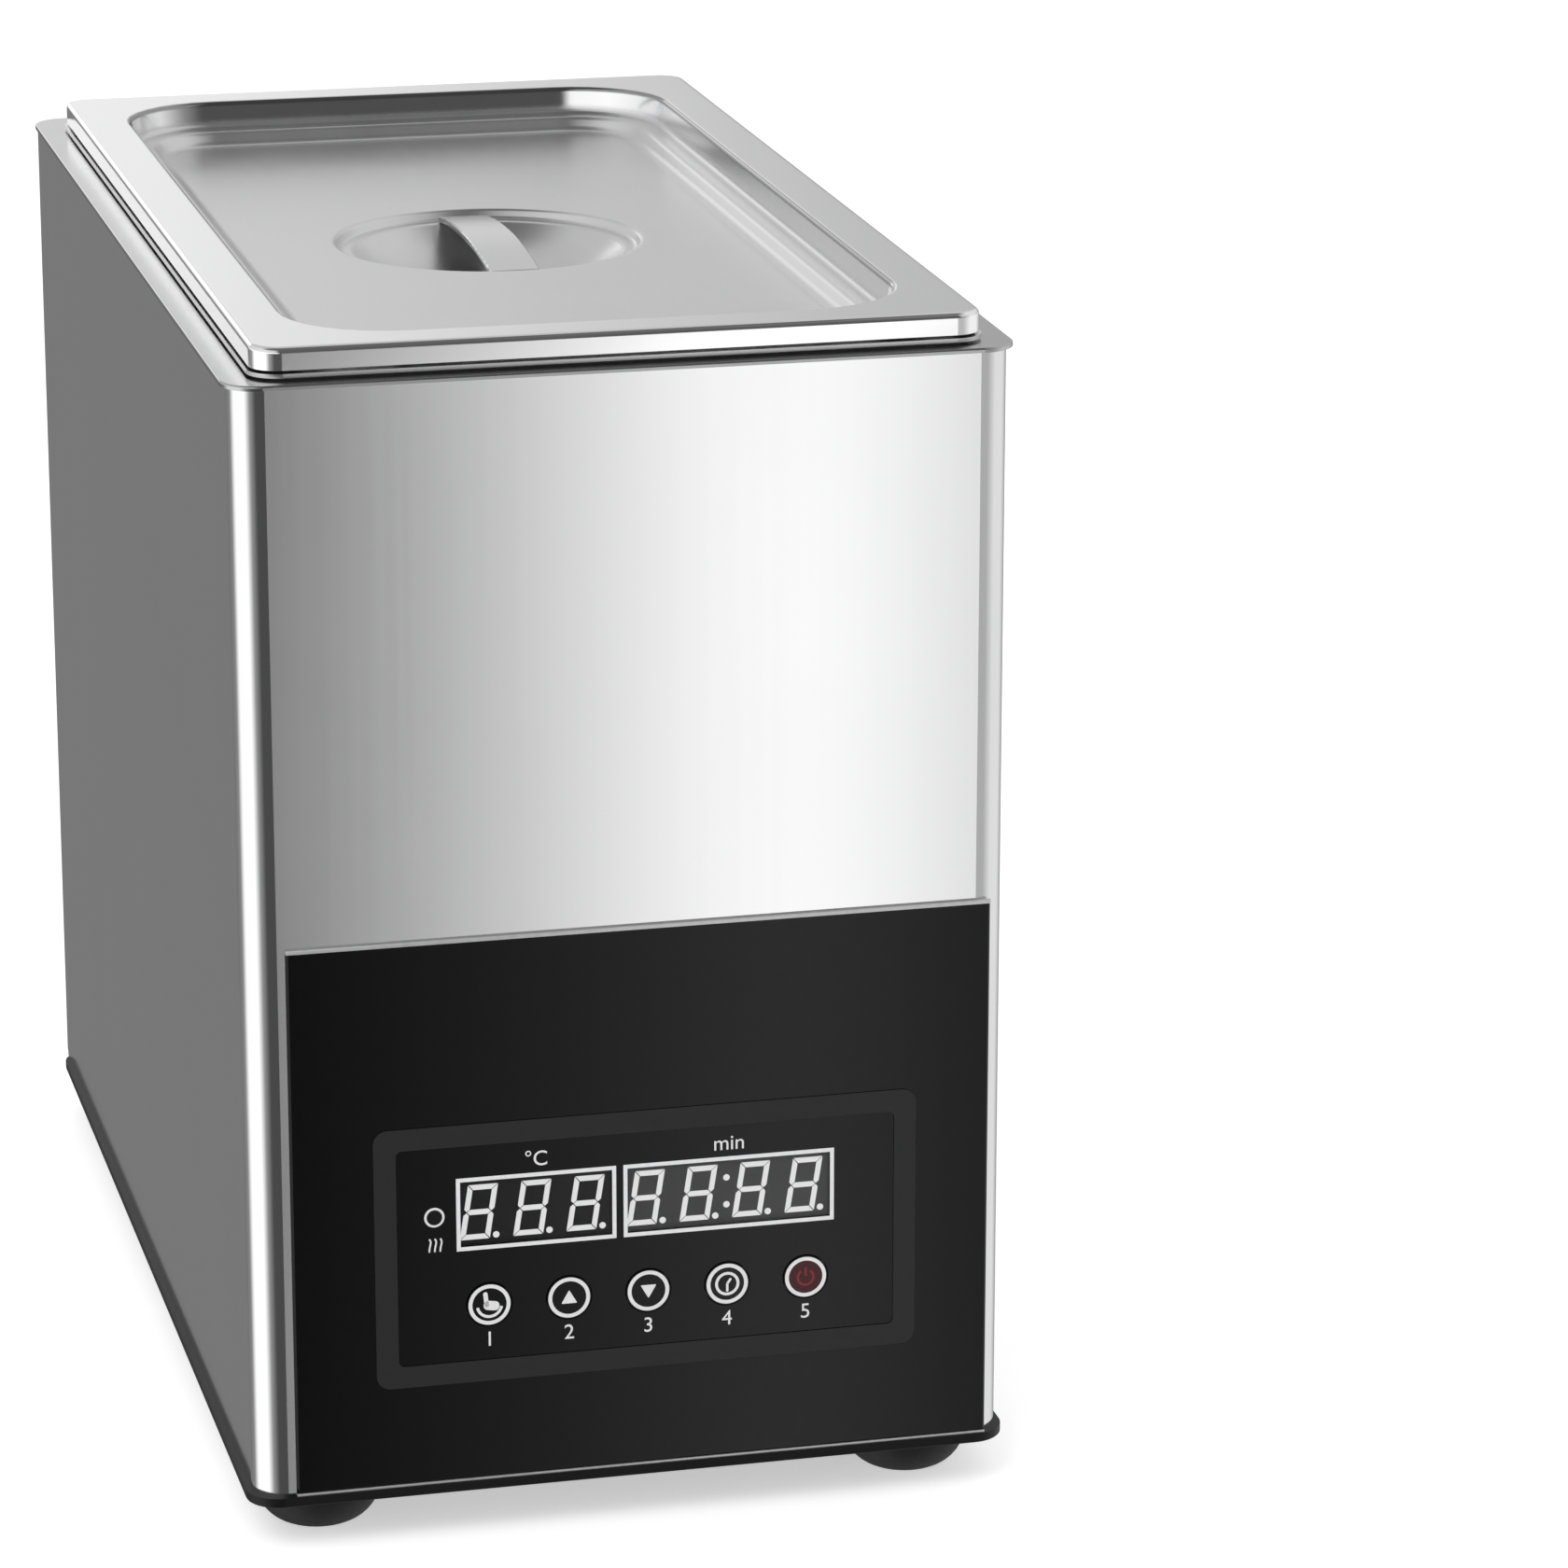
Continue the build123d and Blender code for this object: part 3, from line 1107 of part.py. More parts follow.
with BuildPart() as gland_locknut:
    with BuildSketch(front(CASE_DEPTH - CASE_SHEET)):
        with Locations((GLAND_X, CASE_Z + GLAND_Z)):
            RegularPolygon(GLAND_FLATS / 2, HEX_SIDES, major_radius=False)
            Circle(GLAND_THREAD, mode=Mode.SUBTRACT)
    extrude(amount=LOCKNUT_THICK)
write(gland_locknut.part, "gland_locknut")

# Control panel: a thin black plate stuck to the casing, with windows, key holes and a lamp hole
PANEL_WIDTH = CASE_WIDTH - PANEL_LEFT_MARGIN - PANEL_RIGHT_MARGIN
PANEL_X = (PANEL_LEFT_MARGIN - PANEL_RIGHT_MARGIN) / 2
TEMPERATURE_WIDTH = TEMPERATURE_DIGITS * DIGIT_PITCH
TIMER_WIDTH = TIMER_DIGITS * DIGIT_PITCH
TEMPERATURE_X = DISPLAY_LEFT + TEMPERATURE_WIDTH / 2
TIMER_X = DISPLAY_LEFT + TEMPERATURE_WIDTH + DISPLAY_GAP + TIMER_WIDTH / 2
DISPLAYS = (
    ("temperature", TEMPERATURE_X, TEMPERATURE_WIDTH, TEMPERATURE_DIGITS),
    ("timer", TIMER_X, TIMER_WIDTH, TIMER_DIGITS),
)
KEY_HOLE = KEY_RADIUS + SLIP_GAP
with BuildPart() as control_panel:
    with BuildSketch(front(0)):
        with Locations((PANEL_X, CASE_Z + PANEL_LIFT + PANEL_HEIGHT / 2)):
            Rectangle(PANEL_WIDTH, PANEL_HEIGHT)
        for _, display_x, display_width, _ in DISPLAYS:
            with Locations((display_x, CASE_Z + DISPLAY_Z)):
                Rectangle(
                    display_width - 2 * FRAME_LINE, DISPLAY_HEIGHT - 2 * FRAME_LINE, mode=Mode.SUBTRACT
                )
        with Locations(*KEY_PLACES):
            Circle(KEY_HOLE, mode=Mode.SUBTRACT)
        with Locations((LAMP_X, CASE_Z + LAMP_Z)):
            Circle(LAMP_RADIUS, mode=Mode.SUBTRACT)
    extrude(amount=PANEL_THICK)
    chamfer(control_panel.faces().sort_by(Axis.Y)[0].outer_wire().edges(), EDGE_FILLET)
write(control_panel.part, "control_panel")

# Raised band round the controls
with BuildPart() as control_band:
    with BuildSketch(front(-PANEL_THICK)):
        with Locations((CONTROL_X, CASE_Z + CONTROL_Z)):
            RectangleRounded(BAND_WIDTH, BAND_HEIGHT, BAND_CORNER)
            RectangleRounded(
                BAND_WIDTH - 2 * BAND_LINE,
                BAND_HEIGHT - 2 * BAND_LINE,
                BAND_INNER_CORNER,
                mode=Mode.SUBTRACT,
            )
    extrude(amount=BAND_PROUD)
write(control_band.part, "control_band")


def draw_digit(middle_x, middle_z):
    """Seven slanted segments and a point of one digit, drawn in the current sketch."""
    lean = math.tan(math.radians(DIGIT_SLANT))
    half_width = DIGIT_WIDTH / 2
    half_height = DIGIT_HEIGHT / 2
    stroke = DIGIT_STROKE
    gap = DIGIT_MITRE

    def slanted(points):
        """Leans the points to the right with their height and makes them one face."""
        Polygon(*[(middle_x + x + z * lean, middle_z + z) for x, z in points], align=None)

    for height, drop in ((half_height, -1), (-half_height, 1)):
        slanted(
            (
                (-half_width + gap, height),
                (half_width - gap, height),
                (half_width - stroke - gap, height + drop * stroke),
                (-half_width + stroke + gap, height + drop * stroke),
            )
        )
    slanted(
        (
            (-half_width + stroke + gap, stroke / 2),
            (half_width - stroke - gap, stroke / 2),
            (half_width - stroke / 2 - gap, 0),
            (half_width - stroke - gap, -stroke / 2),
            (-half_width + stroke + gap, -stroke / 2),
            (-half_width + stroke / 2 + gap, 0),
        )
    )
    for side in (-1, 1):
        for rise in (-1, 1):
            slanted(
                (
                    (side * half_width, rise * (half_height - gap)),
                    (side * (half_width - stroke), rise * (half_height - stroke - gap)),
                    (side * (half_width - stroke), rise * (stroke / 2 + gap)),
                    (side * (half_width - stroke / 2), rise * gap),
                    (side * half_width, rise * (stroke / 2 + gap)),
                )
            )
    point_x = middle_x + half_width + 2 * POINT_RADIUS - half_height * lean
    point_z = middle_z - half_height + POINT_RADIUS
    with Locations((point_x, point_z)):
        Circle(POINT_RADIUS)


# Displays: for each a clear window, a display module on the board and its lit segments
for name, display_x, display_width, digits in DISPLAYS:
    with BuildPart() as window:
        with BuildSketch(front(0)):
            with Locations((display_x, CASE_Z + DISPLAY_Z)):
                Rectangle(display_width - 2 * FRAME_LINE, DISPLAY_HEIGHT - 2 * FRAME_LINE)
        extrude(amount=PANEL_THICK)
    write(window.part, f"{name}_window")

    with BuildPart() as module:
        with BuildSketch(front(DISPLAY_BACKSET)):
            with Locations((display_x, CASE_Z + DISPLAY_Z)):
                Rectangle(display_width - FRAME_LINE, DISPLAY_HEIGHT - FRAME_LINE)
        extrude(amount=DISPLAY_BACKSET - BOARD_DEPTH)
    write(module.part, f"{name}_display")

    with BuildPart() as segments:
        with BuildSketch(front(DISPLAY_BACKSET)):
            for digit in range(digits):
                along = (digit - (digits - 1) / 2) * DIGIT_PITCH
                draw_digit(display_x + along - POINT_RADIUS, CASE_Z + DISPLAY_Z)
            if name == "timer":
                for rise in (-1, 1):
                    with Locations((display_x - POINT_RADIUS / 2, CASE_Z + DISPLAY_Z + rise * COLON_RISE)):
                        Circle(POINT_RADIUS)
        extrude(amount=SEGMENT_PROUD)
    write(segments.part, f"{name}_segments")

# Heating lamp: a round lens in the panel on a body that reaches back to the board
with BuildPart() as heating_lamp:
    with BuildSketch(front(BOARD_DEPTH)):
        with Locations((LAMP_X, CASE_Z + LAMP_Z)):
            Circle(LAMP_RADIUS)
    extrude(amount=BOARD_DEPTH + PANEL_THICK + LAMP_PROUD)
    fillet(heating_lamp.faces().sort_by(Axis.Y)[0].edges(), LAMP_PROUD / 2)
    with BuildSketch(front(0)):
        with Locations((LAMP_X, CASE_Z + LAMP_Z)):
            Circle(LAMP_RIM)
    extrude(amount=-KEY_FLANGE_THICK)
write(heating_lamp.part, "heating_lamp")

# Keys: a round cap in the panel, a flange that keeps it in and a stem over its switch
SWITCH_TOP = BOARD_DEPTH - SWITCH_HEIGHT - PLUNGER_HEIGHT
KEY_STEM_END = SWITCH_TOP - KEY_TRAVEL - KEY_FREE_GAP
KEY_FLANGE_START = SLIP_GAP
for key_name, key_place in zip(KEY_NAMES, KEY_PLACES):
    with BuildPart() as key:
        with BuildSketch(front(KEY_FLANGE_START)):
            with Locations(key_place):
                Circle(KEY_RADIUS)
        extrude(amount=KEY_FLANGE_START + PANEL_THICK + KEY_PROUD)
        with BuildSketch(front(KEY_FLANGE_START)):
            with Locations(key_place):
                Circle(KEY_RADIUS + KEY_FLANGE)
        extrude(amount=-KEY_FLANGE_THICK)
        with BuildSketch(front(KEY_FLANGE_START)):
            with Locations(key_place):
                Circle(KEY_STEM)
        extrude(amount=KEY_FLANGE_START - KEY_STEM_END)
    write(key.part, key_name)

# Tactile switches on the control board, one behind each key
with BuildPart() as tactile_switches:
    with BuildSketch(front(BOARD_DEPTH)):
        with Locations(*KEY_PLACES):
            Rectangle(SWITCH_SIDE, SWITCH_SIDE)
    extrude(amount=SWITCH_HEIGHT)
    with BuildSketch(front(BOARD_DEPTH - SWITCH_HEIGHT)):
        with Locations(*KEY_PLACES):
            Circle(PLUNGER_RADIUS)
    extrude(amount=PLUNGER_HEIGHT)
write(tactile_switches.part, "tactile_switches")

# Control board behind the panel
with BuildPart() as control_board:
    with BuildSketch(front(BOARD_DEPTH)):
        with Locations((CONTROL_X, CASE_Z + CONTROL_Z)):
            Rectangle(BOARD_WIDTH, BOARD_HEIGHT)
        with Locations(*BOARD_SPACER_PLACES):
            Circle(SCREW_RADIUS, mode=Mode.SUBTRACT)
    extrude(amount=-BOARD_THICK)
write(control_board.part, "control_board")

# Power board on the base plate, with its relay and transformer
POWER_Z = CASE_Z + POWER_LIFT
with BuildPart() as power_board:
    with BuildSketch(level(POWER_Z)):
        with Locations((POWER_X, FRONT_Y + POWER_Y)):
            Rectangle(POWER_WIDTH, POWER_DEPTH)
        with Locations(*POWER_SPACER_PLACES):
            Circle(SCREW_RADIUS, mode=Mode.SUBTRACT)
    extrude(amount=BOARD_THICK)
write(power_board.part, "power_board")

POWER_TOP = POWER_Z + BOARD_THICK
RELAY_X = POWER_X - POWER_STATION
TRANSFORMER_X = POWER_X + POWER_STATION - BOARD_EDGE
with BuildPart() as power_relay:
    with BuildSketch(level(POWER_TOP)):
        with Locations((RELAY_X, FRONT_Y + POWER_Y)):
            Rectangle(RELAY_SIZE[0], RELAY_SIZE[1])
    extrude(amount=RELAY_SIZE[2])
    fillet(power_relay.edges().filter_by(Axis.Z), EDGE_FILLET)
write(power_relay.part, "power_relay")

with BuildPart() as power_transformer:
    with BuildSketch(level(POWER_TOP)):
        with Locations((TRANSFORMER_X, FRONT_Y + POWER_Y)):
            Rectangle(TRANSFORMER_SIZE[0], TRANSFORMER_SIZE[1])
    extrude(amount=TRANSFORMER_SIZE[2])
    fillet(power_transformer.edges().filter_by(Axis.Z), EDGE_FILLET)
write(power_transformer.part, "power_transformer")

# Board spacers: tubes that hold both boards off the sheets
with BuildPart() as board_spacers:
    with BuildSketch(front(CASE_SHEET)):
        with Locations(*BOARD_SPACER_PLACES):
            Circle(SPACER_RADIUS)
            Circle(SCREW_RADIUS, mode=Mode.SUBTRACT)
    extrude(amount=CASE_SHEET - BOARD_DEPTH)
    with BuildSketch(level(CASE_Z)):
        with Locations(*POWER_SPACER_PLACES):
            Circle(SPACER_RADIUS)
            Circle(SCREW_RADIUS, mode=Mode.SUBTRACT)
    extrude(amount=POWER_LIFT)
write(board_spacers.part, "board_spacers")

# Board screws: through the boards into the spacers
with BuildPart() as board_screws:
    with BuildSketch(front(BOARD_DEPTH + BOARD_THICK)):
        with Locations(*BOARD_SPACER_PLACES):
            Circle(SCREW_HEAD_RADIUS)
    extrude(amount=-SCREW_HEAD)
    with BuildSketch(front(BOARD_DEPTH + BOARD_THICK)):
        with Locations(*BOARD_SPACER_PLACES):
            Circle(SCREW_RADIUS)
    extrude(amount=SCREW_LENGTH)
    with BuildSketch(level(POWER_TOP)):
        with Locations(*POWER_SPACER_PLACES):
            Circle(SCREW_HEAD_RADIUS)
    extrude(amount=SCREW_HEAD)
    with BuildSketch(level(POWER_TOP)):
        with Locations(*POWER_SPACER_PLACES):
            Circle(SCREW_RADIUS)
    extrude(amount=-SCREW_LENGTH)
write(board_screws.part, "board_screws")

# Terminal block on the base plate, beside and behind the heater's legs
LEAD_RUN = 2 * LEAD_BEND + LEAD_SLACK
TERMINAL_PITCH = TERMINAL_SIZE[0] / TERMINAL_WAYS
TERMINAL_X = -HEATER_X - LEAD_RUN
WELL_Y = HEATER_Y + LEAD_RUN
TERMINAL_ROWS = TERMINAL_SIZE[1] / 2
TERMINAL_Y = WELL_Y + TERMINAL_ROWS / 2
with BuildPart() as terminal_block:
    with BuildSketch(level(CASE_Z)):
        with Locations((TERMINAL_X, TERMINAL_Y)):
            Rectangle(TERMINAL_SIZE[0], TERMINAL_SIZE[1])
    extrude(amount=TERMINAL_SIZE[2])
    with BuildSketch(level(CASE_Z + TERMINAL_SIZE[2])):
        with Locations((TERMINAL_X, TERMINAL_Y)):
            with GridLocations(TERMINAL_PITCH, TERMINAL_ROWS, TERMINAL_WAYS, 2):
                Circle(TERMINAL_WELL)
    extrude(amount=-TERMINAL_SIZE[2] / 2, mode=Mode.SUBTRACT)
write(terminal_block.part, "terminal_block")

# Heater leads: from the element's legs down to two wells of the terminal block
TERMINAL_FLOOR = CASE_Z + TERMINAL_SIZE[2] / 2
LEAD_LEVEL = DRAIN_Z - PIPE_RADIUS - LEAD_BEND
with BuildPart() as heater_leads:
    for lead, (leg_x, leg_y) in enumerate(HEATER_PLACES):
        well_x = TERMINAL_X + lead * TERMINAL_PITCH
        lead_level = LEAD_LEVEL - lead * LEAD_SPACING
        with BuildLine() as lead_path:
            FilletPolyline(
                (leg_x, leg_y, HEATER_END),
                (leg_x, leg_y, lead_level),
                (leg_x, WELL_Y, lead_level),
                (well_x, WELL_Y, lead_level),
                (well_x, WELL_Y, TERMINAL_FLOOR),
                radius=LEAD_BEND,
            )
        with BuildSketch(Plane(origin=lead_path.line @ 0, z_dir=lead_path.line % 0)):
            Circle(LEAD_RADIUS)
        sweep(path=lead_path.line)
write(heater_leads.part, "heater_leads")

# Probe lead: from the probe's end to the back of the control board
PROBE_END = TANK_BOTTOM - PROBE_TAIL
PROBE_LEAD_Z = CASE_Z + CONTROL_Z + PROBE_LEAD_RISE
PROBE_LEAD_BEND = (PROBE_END - PROBE_LEAD_Z) / PROBE_LEAD_TURNS
BOARD_BACK = FRONT_Y + BOARD_DEPTH + BOARD_THICK
with BuildPart() as probe_lead:
    with BuildLine() as probe_path:
        FilletPolyline(
            (PROBE_X, HEATER_Y, PROBE_END),
            (PROBE_X, HEATER_Y, PROBE_LEAD_Z),
            (PROBE_X, BOARD_BACK, PROBE_LEAD_Z),
            radius=PROBE_LEAD_BEND,
        )
    with BuildSketch(Plane(origin=probe_path.line @ 0, z_dir=probe_path.line % 0)):
        Circle(LEAD_RADIUS)
    sweep(path=probe_path.line)
write(probe_lead.part, "probe_lead")

# Board cable: from the back of the control board to the top of the power board
CABLE_X = POWER_X - CABLE_OFFSET
with BuildPart() as board_cable:
    with BuildLine() as cable_path:
        FilletPolyline(
            (CABLE_X, BOARD_BACK, CASE_Z + CONTROL_Z),
            (CABLE_X, FRONT_Y + POWER_Y - POWER_DEPTH / 2 + BOARD_EDGE, CASE_Z + CONTROL_Z),
            (CABLE_X, FRONT_Y + POWER_Y - POWER_DEPTH / 2 + BOARD_EDGE, POWER_TOP),
            radius=CABLE_BEND,
        )
    with BuildSketch(Plane(origin=cable_path.line @ 0, z_dir=cable_path.line % 0)):
        Circle(CABLE_RADIUS)
    sweep(path=cable_path.line)
write(board_cable.part, "board_cable")
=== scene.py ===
import math

import bpy
from bpy.props import FloatProperty, FloatVectorProperty, PointerProperty
from mathutils import Euler, Matrix, Vector


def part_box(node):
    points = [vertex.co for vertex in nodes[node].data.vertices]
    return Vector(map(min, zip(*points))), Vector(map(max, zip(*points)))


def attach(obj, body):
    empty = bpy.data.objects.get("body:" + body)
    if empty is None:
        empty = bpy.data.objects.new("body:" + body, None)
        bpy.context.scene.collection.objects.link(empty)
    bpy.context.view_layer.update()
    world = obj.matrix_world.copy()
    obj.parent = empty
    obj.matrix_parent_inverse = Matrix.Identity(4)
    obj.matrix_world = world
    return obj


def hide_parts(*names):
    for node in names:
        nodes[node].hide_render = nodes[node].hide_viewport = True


# Looks of a countertop electric egg cooker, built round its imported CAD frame.
# Metres. X runs to the right seen from the front, Y from the front to the back, Z up.

bl_info = {
    "name": "Egg cooker looks",
    "version": (1, 0, 0),
    "blender": (4, 5, 0),
    "location": "View3D > Sidebar > Egg cooker",
    "description": "Dresses the egg cooker's CAD frame with modelled pieces, materials and a studio",
    "category": "Object",
}

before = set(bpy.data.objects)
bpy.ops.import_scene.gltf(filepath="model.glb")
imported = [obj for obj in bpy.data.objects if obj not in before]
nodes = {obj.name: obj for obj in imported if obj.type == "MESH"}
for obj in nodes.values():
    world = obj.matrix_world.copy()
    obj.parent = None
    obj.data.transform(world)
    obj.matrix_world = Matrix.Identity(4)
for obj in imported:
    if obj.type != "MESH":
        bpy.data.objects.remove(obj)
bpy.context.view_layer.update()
MM = 0.001
UPRIGHT = math.pi / 2
CIRCLE_SIDES = 72
WHITE = (1, 1, 1, 1)

# How close points lie that count as one, in the lid's sheet and in the fine prints
NEAR = 0.01 * MM
PRINT_NEAR = 0.002 * MM


def middle_of(node):
    """The middle of a CAD node's box."""
    low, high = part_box(node)
    return (low + high) / 2


LID_LOW, LID_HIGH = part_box("lid")
PANEL_LOW, PANEL_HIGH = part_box("control_panel")

# The keys from left to right
KEYS = ("key_set", "key_up", "key_down", "key_timer", "key_power")

# The cross head screws: the CAD node that each group replaces, the axis that its screws lie along,
# whether their heads look to the high end of that axis, and how many rows stand on each side
SCREWS = (("back_screws", "y", True, 4), ("base_screws", "z", False, 3), ("foot_screws", "z", False, 2))
SCREW_HEAD = 3.0 * MM
SCREW_RISE = 1.8 * MM
SCREW_SHANK = 1.5 * MM


# Settings that a user would change


class CookerSizes(bpy.types.PropertyGroup):
    """Sizes of the modelled pieces."""

    lip_height: FloatProperty(
        name="Lip height", description="Height of the turned-down lip", default=5.35 * MM, unit="LENGTH"
    )
    lid_corner: FloatProperty(
        name="Lid corner", description="Radius of the lid's corners", default=7 * MM, unit="LENGTH"
    )
    brim: FloatProperty(
        name="Brim", description="Flat width between the lip and the well", default=13.5 * MM, unit="LENGTH"
    )
    well_corner: FloatProperty(
        name="Well corner", description="Radius of the well's corners", default=26 * MM, unit="LENGTH"
    )
    first_step: FloatProperty(
        name="First step", description="Depth of the ledge under the brim", default=7.2 * MM, unit="LENGTH"
    )
    second_step: FloatProperty(
        name="Second step", description="Depth of the well's floor under the ledge", default=3.8 * MM,
        unit="LENGTH",
    )
    recess_radius: FloatProperty(
        name="Recess", description="Radius of the recess under the strap", default=39 * MM, unit="LENGTH"
    )
    sheet: FloatProperty(
        name="Lid sheet", description="Thickness of the lid's sheet", default=0.8 * MM, unit="LENGTH"
    )
    print_lift: FloatProperty(
        name="Print thickness", description="Thickness of the prints", default=0.05 * MM, unit="LENGTH"
    )
    frame_line: FloatProperty(
        name="Frame line", description="Width of the line round a display", default=1.0 * MM, unit="LENGTH"
    )
    mark_size: FloatProperty(
        name="Mark size", description="Size of the printed numbers and unit signs", default=5.4 * MM,
        unit="LENGTH",
    )
    key_ring: FloatProperty(
        name="Key ring", description="Outer radius of the ring on each key", default=5.2 * MM, unit="LENGTH"
    )
    edge_line: FloatProperty(
        name="Edge line", description="Height of the bright edging along the panel's top", default=0.95 * MM,
        unit="LENGTH",
    )


class CookerColours(bpy.types.PropertyGroup):
    """Colours of the finishes."""

    steel: FloatVectorProperty(
        name="Steel", description="Stainless sheet", default=(0.8, 0.8, 0.805), subtype="COLOR", min=0, max=1
    )
    panel: FloatVectorProperty(
        name="Panel", description="Glossy control panel", default=(0.0022, 0.0022, 0.0022), subtype="COLOR",
        min=0, max=1,
    )
    band: FloatVectorProperty(
        name="Band", description="Band round the controls", default=(0.012, 0.012, 0.013), subtype="COLOR",
        min=0, max=1,
    )
    ink: FloatVectorProperty(
        name="Print", description="Printed lines and marks", default=(0.75, 0.75, 0.76), subtype="COLOR",
        min=0, max=1,
    )
    power: FloatVectorProperty(
        name="Power key", description="Disc of the power key", default=(0.055, 0.004, 0.005),
        subtype="COLOR", min=0, max=1,
    )
    power_sign: FloatVectorProperty(
        name="Power sign", description="Sign on the power key", default=(0.22, 0.02, 0.025), subtype="COLOR",
        min=0, max=1,
    )
    rubber: FloatVectorProperty(
        name="Rubber", description="Feet", default=(0.006, 0.0055, 0.0055), subtype="COLOR", min=0, max=1
    )


class StudioSettings(bpy.types.PropertyGroup):
    """Camera and light."""

    lens: FloatProperty(
        name="Lens", description="Focal length on a 36 mm sensor", default=144.6, min=20, max=400,
        subtype="DISTANCE_CAMERA",
    )
    yaw: FloatProperty(
        name="Yaw", description="Camera's turn to the right", default=math.radians(13.949), subtype="ANGLE"
    )
    pitch: FloatProperty(
        name="Pitch", description="Camera's tilt downwards", default=math.radians(16.685), subtype="ANGLE"
    )
    roll: FloatProperty(
        name="Roll", description="Camera's roll", default=math.radians(0.103), subtype="ANGLE"
    )
    ambient: FloatProperty(
        name="Ambient", description="Even light on matt surfaces", default=0.7, min=0, max=3
    )
    key_power: FloatProperty(
        name="Key light", description="Power of the large soft lamp", default=14.0, min=0, subtype="POWER"
    )
    floor_size: FloatProperty(
        name="Floor", description="Side of the square floor", default=14.0, unit="LENGTH"
    )
    floor_lift: FloatProperty(
        name="Floor whiteness", description="What the camera sees on top of the floor's own light",
        default=0.5, min=0,
    )


# Modelling helpers


def deselect():
    """Leaves edit mode and clears the selection."""
    if bpy.context.object and bpy.context.object.mode != "OBJECT":
        bpy.ops.object.mode_set(mode="OBJECT")
    bpy.ops.object.select_all(action="DESELECT")


def make_active(*pieces):
    """Selects the given objects and makes the first one active."""
    deselect()
    for piece in pieces:
        piece.select_set(True)
    bpy.context.view_layer.objects.active = pieces[0]
    return pieces[0]


def rename(piece, name):
    """Names an object and its mesh alike."""
    piece.name = name
    piece.data.name = name
    return piece


def new_piece(name):
    """Names the primitive that was just added."""
    return rename(bpy.context.object, name)


def edit(piece, kind="FACE"):
    """Enters edit mode on one object."""
    make_active(piece)
    bpy.ops.object.mode_set(mode="EDIT")
    bpy.ops.mesh.select_mode(type=kind)


def pick_faces(piece, wanted):
    """Selects the faces whose centre and normal pass the test, in edit mode."""
    bpy.ops.mesh.select_all(action="DESELECT")
    bpy.ops.object.mode_set(mode="OBJECT")
    for face in piece.data.polygons:
        face.select = wanted(face.center, face.normal)
    bpy.ops.object.mode_set(mode="EDIT")


def bake_place(piece):
    """Moves an object's place, turn and scale into its mesh."""
    make_active(piece)
    bpy.ops.object.transform_apply(location=True, rotation=True, scale=True)


def apply_modifiers(piece):
    """Applies every modifier on an object, in order."""
    make_active(piece)
    for modifier in list(piece.modifiers):
        bpy.ops.object.modifier_apply(modifier=modifier.name)


def smooth(piece, degrees=35):
    """Smooth shading, with the edges above an angle kept sharp."""
    make_active(piece)
    bpy.ops.object.shade_smooth_by_angle(angle=math.radians(degrees))


def remove(piece):
    """Deletes a helper object."""
    make_active(piece)
    bpy.ops.object.delete()


def dress(piece, material, body):
    """Gives a finished piece its material and body."""
    piece.data.materials.clear()
    piece.data.materials.append(material)
    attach(piece, body)


def rounded_plate(name, width, length, corner, middle):
    """A flat rounded rectangle as one face that looks up, left selected in edit mode."""
    deselect()
    bpy.ops.mesh.primitive_plane_add(size=1, location=middle)
    piece = new_piece(name)
    piece.scale = (width, length, 1)
    bake_place(piece)
    edit(piece, "VERT")
    bpy.ops.mesh.select_all(action="SELECT")
    bpy.ops.mesh.bevel(offset=corner, segments=8, affect="VERTICES", clamp_overlap=False)
    bpy.ops.mesh.select_mode(type="FACE")
    bpy.ops.mesh.select_all(action="SELECT")
    return piece


def sink(steps):
    """Takes the selected face through each (inwards, down) step in turn."""
    for inwards, down in steps:
        if inwards > 0:
            bpy.ops.mesh.inset(thickness=inwards, depth=0)
            bpy.ops.transform.translate(value=(0, 0, -down))
        else:
            bpy.ops.mesh.extrude_region_move(TRANSFORM_OT_translate={"value": (0, 0, -down)})


def rolled(radius, bend, pieces=4):
    """Steps (inwards, down) along an arc that starts level and bends down by some degrees."""
    steps = []
    for number in range(pieces):
        start = math.radians(bend * number / pieces)
        end = math.radians(bend * (number + 1) / pieces)
        inwards = radius * (math.sin(end) - math.sin(start))
        down = radius * (math.cos(start) - math.cos(end))
        steps.append((inwards, down))
    return steps


def press_step(depth, edge, foot, steepness):
    """Presses the selected face down by a depth: a rolled edge, a straight wall and a rolled foot."""
    slope = math.radians(steepness)
    wall = depth - (edge + foot) * (1 - math.cos(slope))
    sink(rolled(edge, steepness))
    sink([(wall / math.tan(slope), wall)])
    sink(reversed(rolled(foot, steepness, 6)))


def slim_bar(name, low, high):
    """A slim bar with softened edges that fills the box between two corners."""
    deselect()
    bpy.ops.mesh.primitive_cube_add(size=1, location=(low + high) / 2)
    piece = new_piece(name)
    piece.scale = high - low
    bake_place(piece)
    rounding = piece.modifiers.new("rounding", "BEVEL")
    rounding.width = 0.08 * MM
    rounding.segments = 2
    apply_modifiers(piece)
    smooth(piece)
    return piece


# Helpers for shader nodes


def fresh_material(name):
    """An empty node material with a Principled shader. Returns it with its tree and its shader."""
    material = bpy.data.materials.new(name)
    material.use_nodes = True
    tree = material.node_tree
    tree.nodes.clear()
    output = tree.nodes.new("ShaderNodeOutputMaterial")
    shader = tree.nodes.new("ShaderNodeBsdfPrincipled")
    tree.links.new(shader.outputs["BSDF"], output.inputs["Surface"])
    return material, tree, shader


